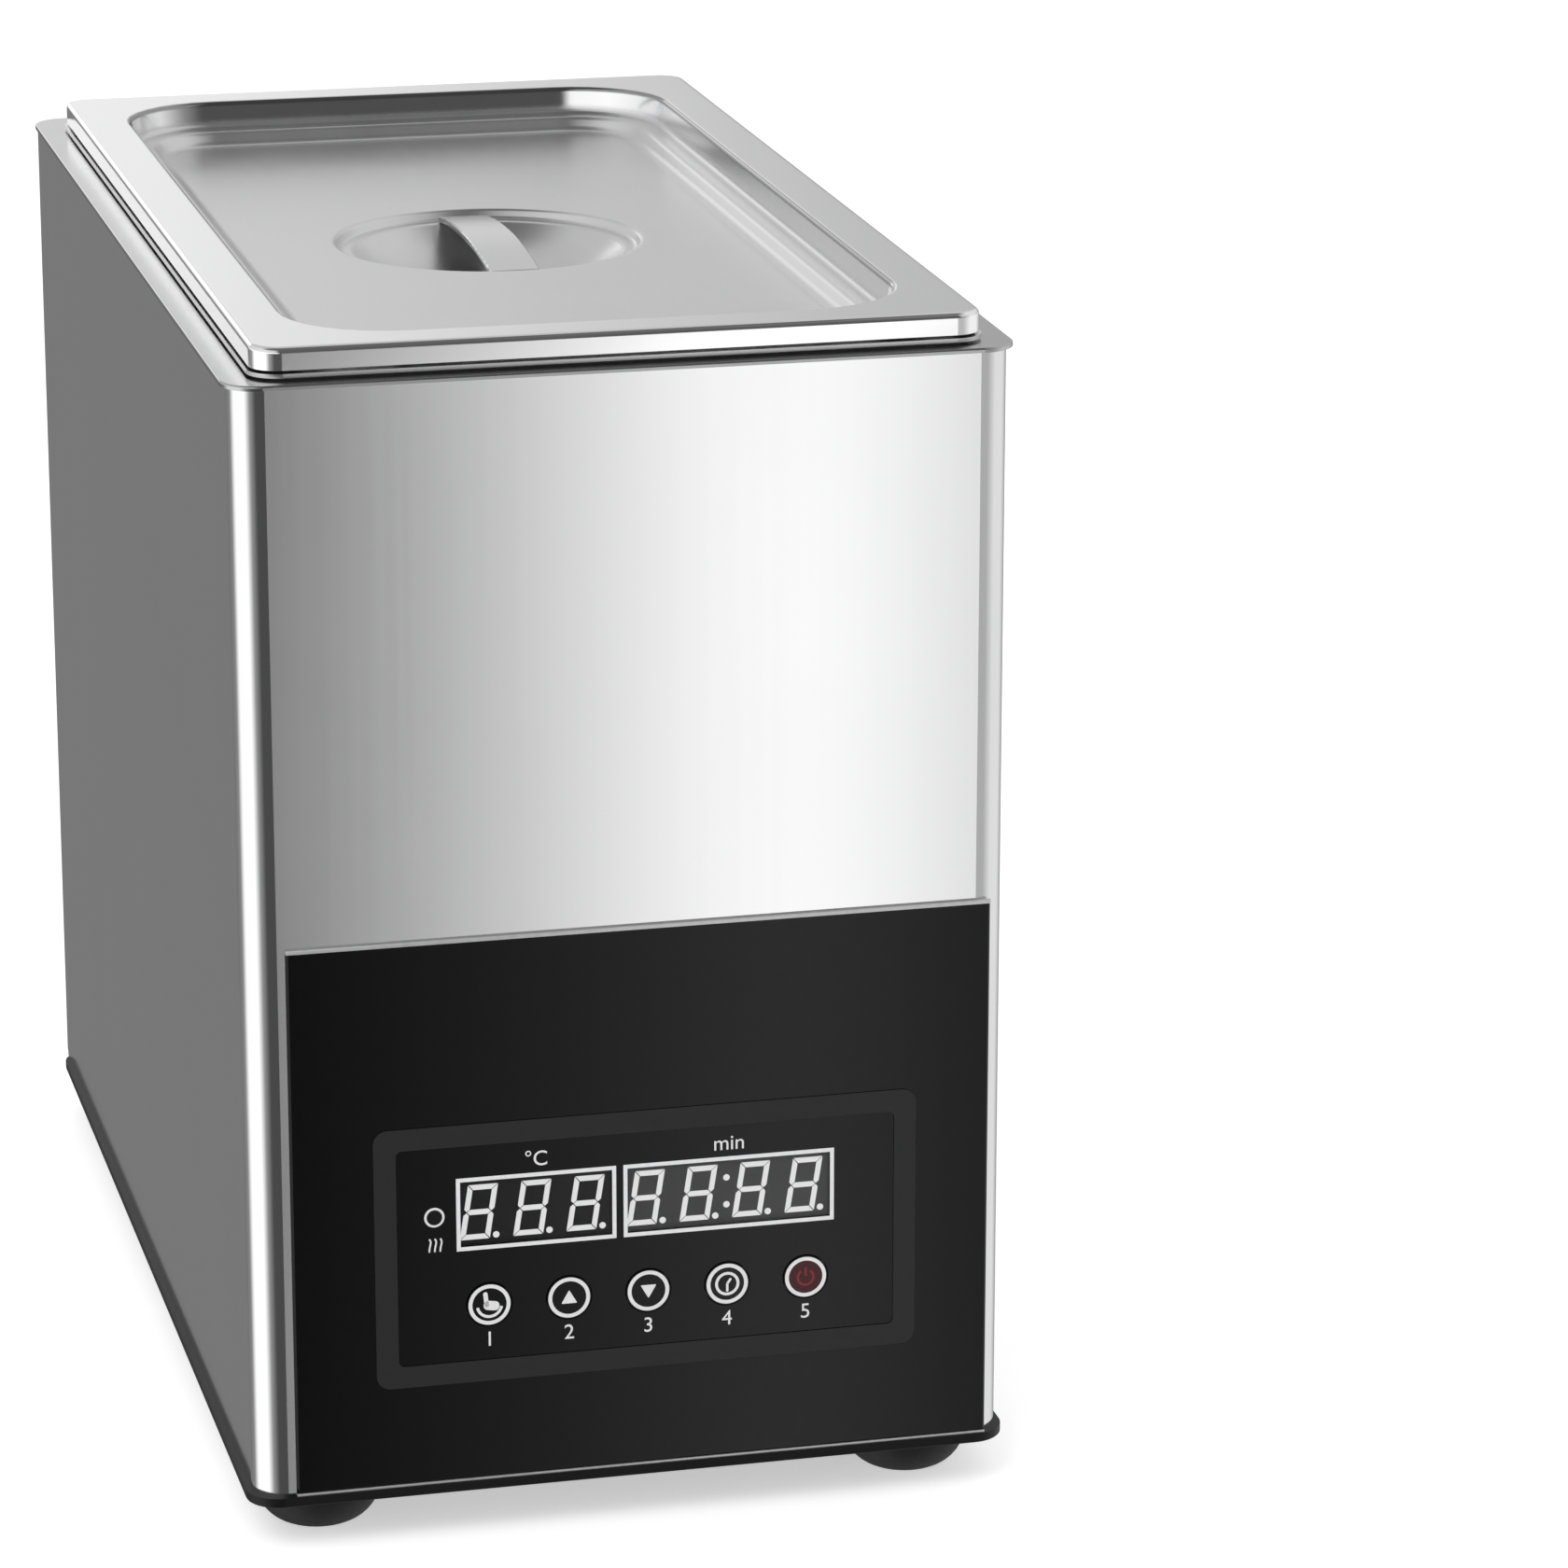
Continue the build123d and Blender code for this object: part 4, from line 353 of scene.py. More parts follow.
def new_group(name, inputs, outputs):
    """A shader node group. Inputs are (name, type, default), outputs are names of values."""
    group = bpy.data.node_groups.new(name, "ShaderNodeTree")
    for label, kind, default in inputs:
        socket = group.interface.new_socket(name=label, in_out="INPUT", socket_type=kind)
        socket.default_value = default
    for label in outputs:
        group.interface.new_socket(name=label, in_out="OUTPUT", socket_type="NodeSocketFloat")
    return group, group.nodes.new("NodeGroupInput"), group.nodes.new("NodeGroupOutput")


def place_group(tree, group, **values):
    """Puts a shared effect in a material with its own values."""
    node = tree.nodes.new("ShaderNodeGroup")
    node.node_tree = group
    for label, value in values.items():
        node.inputs[label.capitalize()].default_value = value
    return node


def feed(tree, value, socket):
    """Links an output to a socket, or sets the socket when the value is a number."""
    if isinstance(value, (int, float)):
        socket.default_value = value
    else:
        tree.links.new(value, socket)


def math_node(tree, operation, first, second):
    """One sum on two values, of which each is an output or a number."""
    node = tree.nodes.new("ShaderNodeMath")
    node.operation = operation
    feed(tree, first, node.inputs[0])
    feed(tree, second, node.inputs[1])
    return node.outputs["Value"]


def multiply(tree, first, second):
    """The product of two values."""
    return math_node(tree, "MULTIPLY", first, second)


def noise(tree, vector, scale, detail):
    """A noise pattern from 0 to 1, whose scale is an output or a number."""
    node = tree.nodes.new("ShaderNodeTexNoise")
    node.inputs["Detail"].default_value = detail
    feed(tree, scale, node.inputs["Scale"])
    tree.links.new(vector, node.inputs["Vector"])
    return node.outputs["Fac"]


def within(tree, value, low, high):
    """1 where a value lies between two ends, and 0 elsewhere."""
    over = math_node(tree, "GREATER_THAN", value, low)
    under = math_node(tree, "LESS_THAN", value, high)
    return multiply(tree, over, under)


def rising(tree, value, start, finish):
    """A smooth step from 0 to 1 as a value goes from start to finish."""
    node = tree.nodes.new("ShaderNodeMapRange")
    node.interpolation_type = "SMOOTHSTEP"
    node.inputs["From Min"].default_value = start
    node.inputs["From Max"].default_value = finish
    tree.links.new(value, node.inputs["Value"])
    return node.outputs["Result"]


def between(tree, share, low, high):
    """Turns a 0 to 1 share into a range whose ends are outputs or numbers."""
    node = tree.nodes.new("ShaderNodeMapRange")
    feed(tree, low, node.inputs["To Min"])
    feed(tree, high, node.inputs["To Max"])
    tree.links.new(share, node.inputs["Value"])
    return node.outputs["Result"]


def blend(tree, share, low, high):
    """Mixes two colours, of which each is an output, a colour or a plain brightness."""
    node = tree.nodes.new("ShaderNodeMix")
    node.data_type = "RGBA"
    tree.links.new(share, node.inputs["Factor"])
    for label, colour in (("A", low), ("B", high)):
        if isinstance(colour, float):
            node.inputs[label].default_value = (colour, colour, colour, 1)
        elif isinstance(colour, tuple):
            node.inputs[label].default_value = (*colour, 1)
        else:
            tree.links.new(colour, node.inputs[label])
    return node.outputs["Result"]


def raise_bump(tree, shader, height, distance):
    """Feeds a height to the shader's normal."""
    node = tree.nodes.new("ShaderNodeBump")
    node.inputs["Distance"].default_value = distance
    node.inputs["Strength"].default_value = 0.4
    tree.links.new(height, node.inputs["Height"])
    tree.links.new(node.outputs["Normal"], shader.inputs["Normal"])


def scaled(colour, factor):
    """A colour made lighter or darker."""
    return tuple(min(1.0, part * factor) for part in colour)


# Shared effects


def grain_group():
    """Fine parallel streaks and slow clouding, for brushed and pressed steel."""
    group, start, end = new_group(
        "brushed grain",
        [
            ("Stretch", "NodeSocketVector", (1500.0, 1500.0, 12.0)),
            ("Streaks", "NodeSocketFloat", 0.5),
            ("Clouds", "NodeSocketFloat", 0.5),
        ],
        ["Shade"],
    )
    place = group.nodes.new("ShaderNodeTexCoord").outputs["Object"]
    stretched = group.nodes.new("ShaderNodeVectorMath")
    stretched.operation = "MULTIPLY"
    group.links.new(place, stretched.inputs[0])
    group.links.new(start.outputs["Stretch"], stretched.inputs[1])
    streaks = noise(group, stretched.outputs["Vector"], 1.0, 2.0)
    clouds = noise(group, place, 22.0, 3.0)
    shade = math_node(
        group, "ADD",
        multiply(group, streaks, start.outputs["Streaks"]),
        multiply(group, clouds, start.outputs["Clouds"]),
    )
    group.links.new(shade, end.inputs["Shade"])
    return group


def speckle_group():
    """Fine moulded texture, for plastics, paint and turned metal."""
    group, start, end = new_group("moulded speckle", [("Scale", "NodeSocketFloat", 900.0)], ["Shade"])
    place = group.nodes.new("ShaderNodeTexCoord").outputs["Object"]
    fine = noise(group, place, start.outputs["Scale"], 4.0)
    group.links.new(fine, end.inputs["Shade"])
    return group


# Kinds of finish


def steel(name, grain, colour, stretch, low, high, streaks=0.5, clouds=0.5):
    """Stainless steel whose grain runs along the direction with the least stretch."""
    material, tree, shader = fresh_material(name)
    shader.inputs["Metallic"].default_value = 1.0
    effect = place_group(tree, grain, stretch=stretch, streaks=streaks, clouds=clouds)
    shade = effect.outputs["Shade"]
    skin = blend(tree, shade, scaled(colour, 0.95), scaled(colour, 1.04))
    tree.links.new(skin, shader.inputs["Base Color"])
    tree.links.new(between(tree, shade, low, high), shader.inputs["Roughness"])
    return material


def lid_steel(grain, colour):
    """Pressed steel: a polished brim and lip, the lip painted lighter as a painted highlight, a dark line of
    painted shade round the well, and a satin well.
    """
    material, tree, shader = fresh_material("lid_steel")
    shader.inputs["Metallic"].default_value = 1.0
    shade = place_group(tree, grain, stretch=(420, 60, 420), streaks=0.3, clouds=0.7).outputs["Shade"]
    place = tree.nodes.new("ShaderNodeTexCoord")
    parts = tree.nodes.new("ShaderNodeSeparateXYZ")
    tree.links.new(place.outputs["Object"], parts.inputs["Vector"])
    height = parts.outputs["Z"]

    # The well is told from the lip by its place, and the brim from both by its height. The satin
    # starts low on the first step's wall, and a dark line of painted shade follows that wall's upper edge
    sizes = bpy.context.scene.cooker_sizes
    top, step, rim = LID_HIGH.z, sizes.first_step, 0.7 * sizes.brim
    well = multiply(
        tree,
        within(tree, parts.outputs["X"], LID_LOW.x + rim, LID_HIGH.x - rim),
        within(tree, parts.outputs["Y"], LID_LOW.y + rim, LID_HIGH.y - rim),
    )
    below = rising(tree, height, top - 0.05 * MM, top - 0.2 * MM)
    satin = multiply(tree, well, rising(tree, height, top - 0.6 * step, top - 0.85 * step))
    edge = rising(tree, height, top - 1.5 * MM, top - 0.8 * MM)
    line = multiply(tree, multiply(tree, well, below), edge)
    lip = multiply(tree, below, math_node(tree, "SUBTRACT", 1.0, well))

    bright = blend(tree, shade, scaled(colour, 0.96), scaled(colour, 1.03))
    dull = blend(tree, shade, scaled(colour, 0.86), scaled(colour, 1.02))
    skin = blend(tree, satin, bright, dull)
    # Painted shade: a dark line along the upper edge of the well's first step
    skin = blend(tree, line, skin, 0.35)
    # Painted highlight: the lip's colour is raised to 0.96, lighter than the rest of the steel
    skin = blend(tree, lip, skin, 0.96)
    tree.links.new(skin, shader.inputs["Base Color"])
    rough = between(tree, satin, between(tree, shade, 0.1, 0.16), between(tree, shade, 0.26, 0.36))
    tree.links.new(rough, shader.inputs["Roughness"])
    return material


def plain(
    name, speckle, colour, low, high,
    metallic=0.0, coat=0.0, scale=900.0, bump=0.02, specular=0.5, glow=0.0, alpha=1.0,
):
    """A moulded, painted, printed or turned finish, rough from low to high. The bump is in millimetres."""
    material, tree, shader = fresh_material(name)
    shader.inputs["Metallic"].default_value = metallic
    shader.inputs["Coat Weight"].default_value = coat
    shader.inputs["Specular IOR Level"].default_value = specular
    shader.inputs["Emission Color"].default_value = WHITE
    shader.inputs["Emission Strength"].default_value = glow
    shader.inputs["Alpha"].default_value = alpha
    shade = place_group(tree, speckle, scale=scale).outputs["Shade"]
    skin = blend(tree, shade, scaled(colour, 0.85), scaled(colour, 1.12))
    tree.links.new(skin, shader.inputs["Base Color"])
    tree.links.new(between(tree, shade, low, high), shader.inputs["Roughness"])
    if bump:
        raise_bump(tree, shader, shade, bump * MM)
    return material


# The finishes by name, filled by the functions below
materials = {}


def mix_steels(colours):
    """Stainless steel: sheet, pressings, deck, lid and wire."""
    grain, bare = grain_group(), colours.steel
    materials["sheet"] = steel("steel_sheet", grain, bare, (420, 420, 3), 0.1, 0.14)
    materials["pressed"] = steel("pressed_steel", grain, bare, (500, 40, 500), 0.2, 0.3, 0.35, 0.65)
    # The deck's steel is painted darker, at 0.64 of the sheet's colour, as painted shade
    materials["deck"] = steel("deck_steel_painted_shade", grain, scaled(bare, 0.64), (300, 300, 300), 0.16, 0.24, 0.7, 0.3)
    materials["lid"] = lid_steel(grain, bare)
    materials["wire"] = steel("steel_wire", grain, scaled(bare, 0.9), (700, 700, 700), 0.15, 0.28)


def mix_panel(colours, speckle):
    """The control panel: its plate, band, prints, displays and lamp."""
    red, red_sign, ink = colours.power, colours.power_sign, colours.ink
    bright, edge, smoke = (0.8, 0.8, 0.8), (0.7, 0.7, 0.705), (0.006, 0.006, 0.006)
    black, grey, lens = (0.012, 0.012, 0.013), (0.17, 0.17, 0.172), (0.004, 0.004, 0.004)
    materials["panel"] = plain(
        "panel_black", speckle, colours.panel, 0.06, 0.1, scale=300, bump=0, specular=0.2
    )
    materials["band"] = plain("band_grey", speckle, colours.band, 0.25, 0.4, scale=500, bump=0)
    # The print also glows a little, at 0.12, which is painted light
    materials["ink"] = plain("printed_ink_painted_glow", speckle, ink, 0.35, 0.5, scale=700, bump=0, glow=0.12)
    materials["edge"] = plain("panel_edge", speckle, edge, 0.25, 0.4, metallic=0.5, scale=500, bump=0)
    materials["power_sign"] = plain("power_sign", speckle, red_sign, 0.3, 0.45, scale=500, bump=0)
    materials["power"] = plain("power_disc", speckle, red, 0.2, 0.35, scale=500, bump=0)
    materials["segment"] = plain("segment_white", speckle, bright, 0.3, 0.45, scale=600, bump=0, glow=1.15)
    materials["window"] = plain("window_smoke", speckle, smoke, 0.04, 0.08, scale=300, bump=0, alpha=0.3)
    materials["dark_face"] = plain("display_black", speckle, black, 0.3, 0.45, scale=500, bump=0)
    materials["grey_face"] = plain("display_grey", speckle, grey, 0.3, 0.45, scale=500, bump=0)
    materials["lamp"] = plain("lamp_lens", speckle, lens, 0.2, 0.3, specular=0.25)


def mix_rubber_and_paint(colours, speckle):
    """Rubber, paint and plastics of the body and the valve."""
    materials["rubber"] = plain("foot_rubber", speckle, colours.rubber, 0.55, 0.75, scale=700, bump=0.05)
    materials["seal"] = plain("seal_rubber", speckle, (0.22, 0.22, 0.23), 0.5, 0.7)
    materials["black_paint"] = plain("black_steel", speckle, (0.005, 0.005, 0.005), 0.35, 0.5, specular=0.25)
    materials["plastic"] = plain("black_plastic", speckle, (0.02, 0.02, 0.02), 0.4, 0.55, bump=0.04)
    materials["vinyl"] = plain("lever_vinyl", speckle, (0.5, 0.02, 0.015), 0.3, 0.45, coat=0.3)
    materials["seat"] = plain("seat_plastic", speckle, (0.8, 0.8, 0.77), 0.35, 0.5)


def mix_turned_metals(speckle):
    """Zinc, brass and plating."""
    zinc, brass, plating = (0.72, 0.72, 0.74), (0.72, 0.53, 0.24), (0.7, 0.69, 0.66)
    materials["zinc"] = plain("bright_zinc", speckle, zinc, 0.2, 0.35, metallic=1.0, bump=0)
    materials["brass"] = plain("turned_brass", speckle, brass, 0.22, 0.36, metallic=1.0, bump=0)
    materials["plating"] = plain("valve_plating", speckle, plating, 0.14, 0.26, metallic=1.0, bump=0)


def mix_electrics(speckle):
    """The boards, what stands on them, and the leads."""
    materials["board"] = plain("board_green", speckle, (0.012, 0.13, 0.05), 0.3, 0.45, scale=350)
    materials["relay"] = plain("relay_blue", speckle, (0.015, 0.06, 0.3), 0.3, 0.4)
    materials["potted"] = plain("transformer_black", speckle, (0.02, 0.02, 0.022), 0.4, 0.6)
    materials["terminal"] = plain("terminal_white", speckle, (0.7, 0.7, 0.66), 0.35, 0.5)
    materials["ceramic"] = plain("ceramic_white", speckle, (0.75, 0.73, 0.68), 0.2, 0.3)
    materials["red_lead"] = plain("lead_red", speckle, (0.45, 0.015, 0.012), 0.4, 0.55)
    materials["grey_lead"] = plain("lead_grey", speckle, (0.2, 0.2, 0.2), 0.4, 0.55)


# The finish of each CAD node
COVERS = (
    ("sheet", ("casing_wrap", "back_panel")),
    ("deck", ("deck_plate",)),
    ("pressed", (
        "tank", "lid", "lid_handle", "false_bottom", "egg_basket", "basket_floor", "drain_pipe",
    )),
    ("wire", ("basket_handles", "heating_element", "temperature_probe", "cutout_clip")),
    ("panel", ("control_panel", *KEYS)),
    ("band", ("control_band",)),
    ("window", ("temperature_window", "timer_window")),
    ("dark_face", ("temperature_display",)),
    ("grey_face", ("timer_display",)),
    ("segment", ("temperature_segments", "timer_segments")),
    ("lamp", ("heating_lamp",)),
    ("rubber", ("feet",)),
    ("seal", ("tank_gasket", "tank_seals")),
    ("black_paint", ("base_plate",)),
    ("zinc", ("foot_screws", "base_screws", "back_screws", "board_screws")),
    ("brass", ("board_spacers", "tank_nuts", "probe_gland", "valve_stem")),
    ("plating", ("valve_body", "valve_tailpiece", "valve_ball", "valve_lever", "stem_nut", "lever_nut")),
    ("vinyl", ("lever_sleeve",)),
    ("seat", ("valve_seats",)),
    ("plastic", ("cable_gland", "gland_locknut", "tactile_switches")),
    ("board", ("control_board", "power_board")),
    ("relay", ("power_relay",)),
    ("potted", ("power_transformer",)),
    ("terminal", ("terminal_block",)),
    ("ceramic", ("thermal_cutout",)),
    ("red_lead", ("heater_leads",)),
    ("grey_lead", ("probe_lead", "board_cable")),
)


class COOKER_OT_finishes(bpy.types.Operator):
    """Mix every finish and put it on the CAD pieces that stay"""

    bl_idname = "cooker.finishes"
    bl_label = "Finishes"

    def execute(self, context):
        colours = context.scene.cooker_colours
        speckle = speckle_group()
        mix_steels(colours)
        mix_panel(colours, speckle)
        mix_rubber_and_paint(colours, speckle)
        mix_turned_metals(speckle)
        mix_electrics(speckle)
        for finish, names in COVERS:
            for name in names:
                nodes[name].data.materials.clear()
                nodes[name].data.materials.append(materials[finish])
        return {"FINISHED"}


# The lid


def fold_lip(sizes, width, length, middle):
    """The lip and the roll above it, open at the top and the bottom."""
    roll, rim = 1.4 * MM, 0.6 * MM
    bottom = middle - Vector((0, 0, sizes.lip_height))
    lip = rounded_plate("lid_pressing", width, length, sizes.lid_corner, bottom)
    sink([(0, roll - sizes.lip_height)])
    sink([(inwards, -down) for inwards, down in reversed(rolled(roll, 90))])
    bpy.ops.mesh.inset(thickness=rim)
    bpy.ops.mesh.delete(type="FACE")
    pick_faces(lip, lambda centre, normal: abs(centre.z - bottom.z) < NEAR)
    bpy.ops.mesh.delete(type="ONLY_FACE")
    bpy.ops.object.mode_set(mode="OBJECT")
    return lip


def press_well(sizes, width, length, middle):
    """The well: a steep step down from the brim, a ledge and a soft step to the open floor."""
    edge, foot, steep = 1.4 * MM, 1.6 * MM, 80
    soft_edge, soft_foot, gentle = 2.4 * MM, 3.6 * MM, 55
    ledge, margin = 2.2 * MM, 3 * MM
    border = 2 * (sizes.brim - edge)
    well = rounded_plate("lid_well", width - border, length - border, sizes.well_corner + edge, middle)
    press_step(sizes.first_step, edge, foot, steep)
    sink([(ledge, 0)])
    press_step(sizes.second_step, soft_edge, soft_foot, gentle)
    bpy.ops.mesh.inset(thickness=margin)
    bpy.ops.mesh.delete(type="FACE")
    bpy.ops.object.mode_set(mode="OBJECT")
    return well


def press_bowl(sizes, middle):
    """The recess: a ring step down to the ledge that carries the strap, and a round bowl."""
    margin, shoulder, ledge = 2.5 * MM, 1.1 * MM, 1.6 * MM
    ring_depth, ring_roll, ring_slope = 2.4 * MM, 1.4 * MM, 60
    bowl_roll, run, slope, least_slope, flattening = 2.5 * MM, 3.4 * MM, 36, 4, 6
    deselect()
    bpy.ops.mesh.primitive_circle_add(
        vertices=CIRCLE_SIDES, radius=sizes.recess_radius + margin, fill_type="NGON", location=middle
    )
    bowl = new_piece("lid_bowl")
    bake_place(bowl)
    edit(bowl)
    bpy.ops.mesh.select_all(action="SELECT")
    sink([(shoulder, 0)])
    press_step(ring_depth, ring_roll, ring_roll, ring_slope)
    sink([(ledge, 0)])
    sink(rolled(bowl_roll, slope))
    while slope > least_slope:
        sink([(run, run * math.tan(math.radians(slope)))])
        slope -= flattening
    bpy.ops.object.mode_set(mode="OBJECT")
    return bowl


def bridge_rims(piece, height):
    """Bridges the two open rims that lie at one level, in edit mode with edge selection."""
    bpy.ops.mesh.select_all(action="DESELECT")
    bpy.ops.mesh.select_non_manifold(
        extend=False, use_wire=False, use_boundary=True, use_multi_face=False,
        use_non_contiguous=False, use_verts=False,
    )
    bpy.ops.object.mode_set(mode="OBJECT")
    ends = piece.data.vertices
    for edge in piece.data.edges:
        if edge.select:
            edge.select = all(abs(ends[end].co.z - height) < NEAR for end in edge.vertices)
    for vertex in ends:
        vertex.select = False
    bpy.ops.object.mode_set(mode="EDIT")
    bpy.ops.mesh.bridge_edge_loops()


class COOKER_OT_lid(bpy.types.Operator):
    """Press the lid: lip, brim, two-step well and the round recess"""

    bl_idname = "cooker.lid"
    bl_label = "Lid"

    def execute(self, context):
        sizes = context.scene.cooker_sizes
        width = LID_HIGH.x - LID_LOW.x
        length = LID_HIGH.y - LID_LOW.y
        middle = middle_of("lid")
        middle.z = LID_HIGH.z
        lip = fold_lip(sizes, width, length, middle)
        well = press_well(sizes, width, length, middle)
        floor_level = min(vertex.co.z for vertex in well.data.vertices)
        bowl = press_bowl(sizes, Vector((middle.x, middle.y, floor_level)))

        lid = make_active(lip, well, bowl)
        bpy.ops.object.join()
        edit(lid, "EDGE")
        bridge_rims(lid, middle.z)
        bridge_rims(lid, floor_level)
        edit(lid)
        bpy.ops.mesh.select_all(action="SELECT")
        bpy.ops.mesh.remove_doubles(threshold=NEAR)
        bpy.ops.mesh.normals_make_consistent(inside=False)
        bpy.ops.object.mode_set(mode="OBJECT")
        wall = lid.modifiers.new("sheet", "SOLIDIFY")
        wall.thickness = sizes.sheet
        wall.offset = -1
        apply_modifiers(lid)
        smooth(lid, 40)
        even = lid.modifiers.new("even", "WEIGHTED_NORMAL")
        even.keep_sharp = True
        apply_modifiers(lid)
        dress(lid, materials["lid"], "lid_set")
        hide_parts("lid")
        return {"FINISHED"}


# Printed marks. They are modelled flat on a face that looks forwards and then given their thickness.
# Places and sizes are in millimetres, x across and z up. The face is its place along Y, in metres


def mark_place(x, z, face):
    """A place on the front."""
    return (x * MM, face, z * MM)


def upright_plane(name, x, z, width, height, face, turn=0):
    """A flat upright rectangle, turned clockwise by some degrees."""
    deselect()
    bpy.ops.mesh.primitive_plane_add(
        size=1, location=mark_place(x, z, face), rotation=(UPRIGHT, math.radians(turn), 0)
    )
    piece = new_piece(name)
    piece.scale = (width * MM, height * MM, 1)
    bake_place(piece)
    return piece


def upright_circle(name, x, z, radius, face, sides, turn=0):
    """A flat upright disc or polygon, turned clockwise by some degrees."""
    deselect()
    bpy.ops.mesh.primitive_circle_add(
        vertices=sides, radius=radius * MM, fill_type="NGON", location=mark_place(x, z, face),
        rotation=(UPRIGHT, math.radians(turn), 0),
    )
    piece = new_piece(name)
    bake_place(piece)
    return piece


def round_corners(piece, radius, segments):
    """Rounds every corner of a flat mark."""
    edit(piece, "VERT")
    bpy.ops.mesh.select_all(action="SELECT")
    bpy.ops.mesh.bevel(offset=radius * MM, segments=segments, affect="VERTICES")
    bpy.ops.object.mode_set(mode="OBJECT")


def hollow_out(piece, line):
    """Leaves a line round a flat mark and stays in edit mode."""
    edit(piece)
    bpy.ops.mesh.select_all(action="SELECT")
    bpy.ops.mesh.inset(thickness=line * MM)
    bpy.ops.mesh.delete(type="FACE")


def print_frame(x, z, width, height, line, face):
    """A rectangular outline."""
    piece = upright_plane("print_frame", x, z, width, height, face)
    hollow_out(piece, line)
    bpy.ops.object.mode_set(mode="OBJECT")
    return piece


def print_bar(x, z, width, height, face, turn=0):
    """A short stroke with round ends."""
    piece = upright_plane("print_bar", x, z, width, height, face, turn)
    round_corners(piece, 0.45 * min(width, height), 4)
    return piece


def print_ring(x, z, radius, line, face, gap=0):
    """A round outline, with an opening of some degrees at the top."""
    piece = upright_circle("print_ring", x, z, radius, face, CIRCLE_SIDES)
    hollow_out(piece, line)
    if gap:
        def in_gap(centre, normal):
            from_top = math.degrees(math.atan2(centre.x - x * MM, centre.z - z * MM))
            return abs(from_top) < gap / 2

        pick_faces(piece, in_gap)
        bpy.ops.mesh.delete(type="FACE")
    bpy.ops.object.mode_set(mode="OBJECT")
    return piece


def print_disc(x, z, radius, face):
    """A filled disc."""
    return upright_circle("print_disc", x, z, radius, face, 48)


def print_triangle(x, z, radius, face, turn=0):
    """A filled triangle with rounded corners, its point up."""
    piece = upright_circle("print_triangle", x, z, radius, face, 3, turn)
    round_corners(piece, 0.12 * radius, 3)
    return piece


def print_text(words, x, z, size, face):
    """Generic characters, centred on a place."""
    deselect()
    bpy.ops.object.text_add(rotation=(UPRIGHT, 0, 0))
    label = bpy.context.object
    label.data.body = words
    label.data.size = size * MM
    label.data.align_x = "CENTER"
    label.data.align_y = "CENTER"
    bpy.ops.object.convert(target="MESH")
    piece = new_piece("print_text")
    piece.location = mark_place(x, z, face)
    bake_place(piece)
    return piece


def print_wave(x, z, height, line, face):
    """One upright wave, as for rising heat."""
    flatness = 0.1 * MM
    deselect()
    bpy.ops.curve.primitive_bezier_curve_add(rotation=(UPRIGHT, UPRIGHT, 0))
    wave = bpy.context.object.data
    wave.bevel_depth = line / height
    wave.bevel_resolution = 2
    wave.resolution_u = 10
    bpy.ops.object.convert(target="MESH")
    piece = new_piece("print_wave")
    piece.scale = (height / 2 * MM, height / 2 * MM, flatness)
    piece.location = mark_place(x, z, face)
    bake_place(piece)
    return piece


def press_print(name, flat_pieces, thickness):
    """Joins flat marks into one piece and gives them their thickness in metres, forwards of the face."""
    piece = make_active(*flat_pieces)
    bpy.ops.object.join()
    rename(piece, name)
    edit(piece)
    bpy.ops.mesh.select_all(action="SELECT")
    bpy.ops.mesh.remove_doubles(threshold=PRINT_NEAR)
    bpy.ops.object.mode_set(mode="OBJECT")
    film = piece.modifiers.new("film", "SOLIDIFY")
    film.thickness = thickness
    film.offset = 1
    apply_modifiers(piece)
    return piece


def lamp_marks(face):
    """The lamp's ring with three waves of heat under it."""
    lamp = middle_of("heating_lamp") / MM
    radius, line = 2.5, 0.7
    spacing, drop, wave_height, wave_line = 1.35, 7.2, 3.4, 0.34
    marks = [print_ring(lamp.x, lamp.z, radius, line, face)]
    for side in (-1, 0, 1):
        marks.append(print_wave(lamp.x + spacing * side, lamp.z - drop, wave_height, wave_line, face))
    return marks


def display_marks(sizes, window, unit_sign, face):
    """The frame round a display and the unit sign over it."""
    line, size, rise = sizes.frame_line / MM, sizes.mark_size / MM, 3.4
    low, high = (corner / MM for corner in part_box(window))
    x, z = (low.x + high.x) / 2, (low.z + high.z) / 2
    return [
        print_frame(x, z, high.x - low.x + 2 * line, high.z - low.z + 2 * line, line, face),
        print_text(unit_sign, x, high.z + line + rise, size, face),
    ]


class COOKER_OT_panel_print(bpy.types.Operator):
    """Print the lamp's marks, the display frames with their unit signs, and the keys' numbers"""

    bl_idname = "cooker.panel_print"
    bl_label = "Panel print"

    def execute(self, context):
        sizes = context.scene.cooker_sizes
        face, number_drop = PANEL_LOW.y, 9.2
        marks = lamp_marks(face)
        marks += display_marks(sizes, "temperature_window", "\N{DEGREE SIGN}C", face)
        marks += display_marks(sizes, "timer_window", "min", face)
        for number, key in enumerate(KEYS, 1):
            place = middle_of(key) / MM
            marks.append(print_text(str(number), place.x, place.z - number_drop, sizes.mark_size / MM, face))
        piece = press_print("panel_print", marks, sizes.print_lift)
        dress(piece, materials["ink"], "casing")
        return {"FINISHED"}


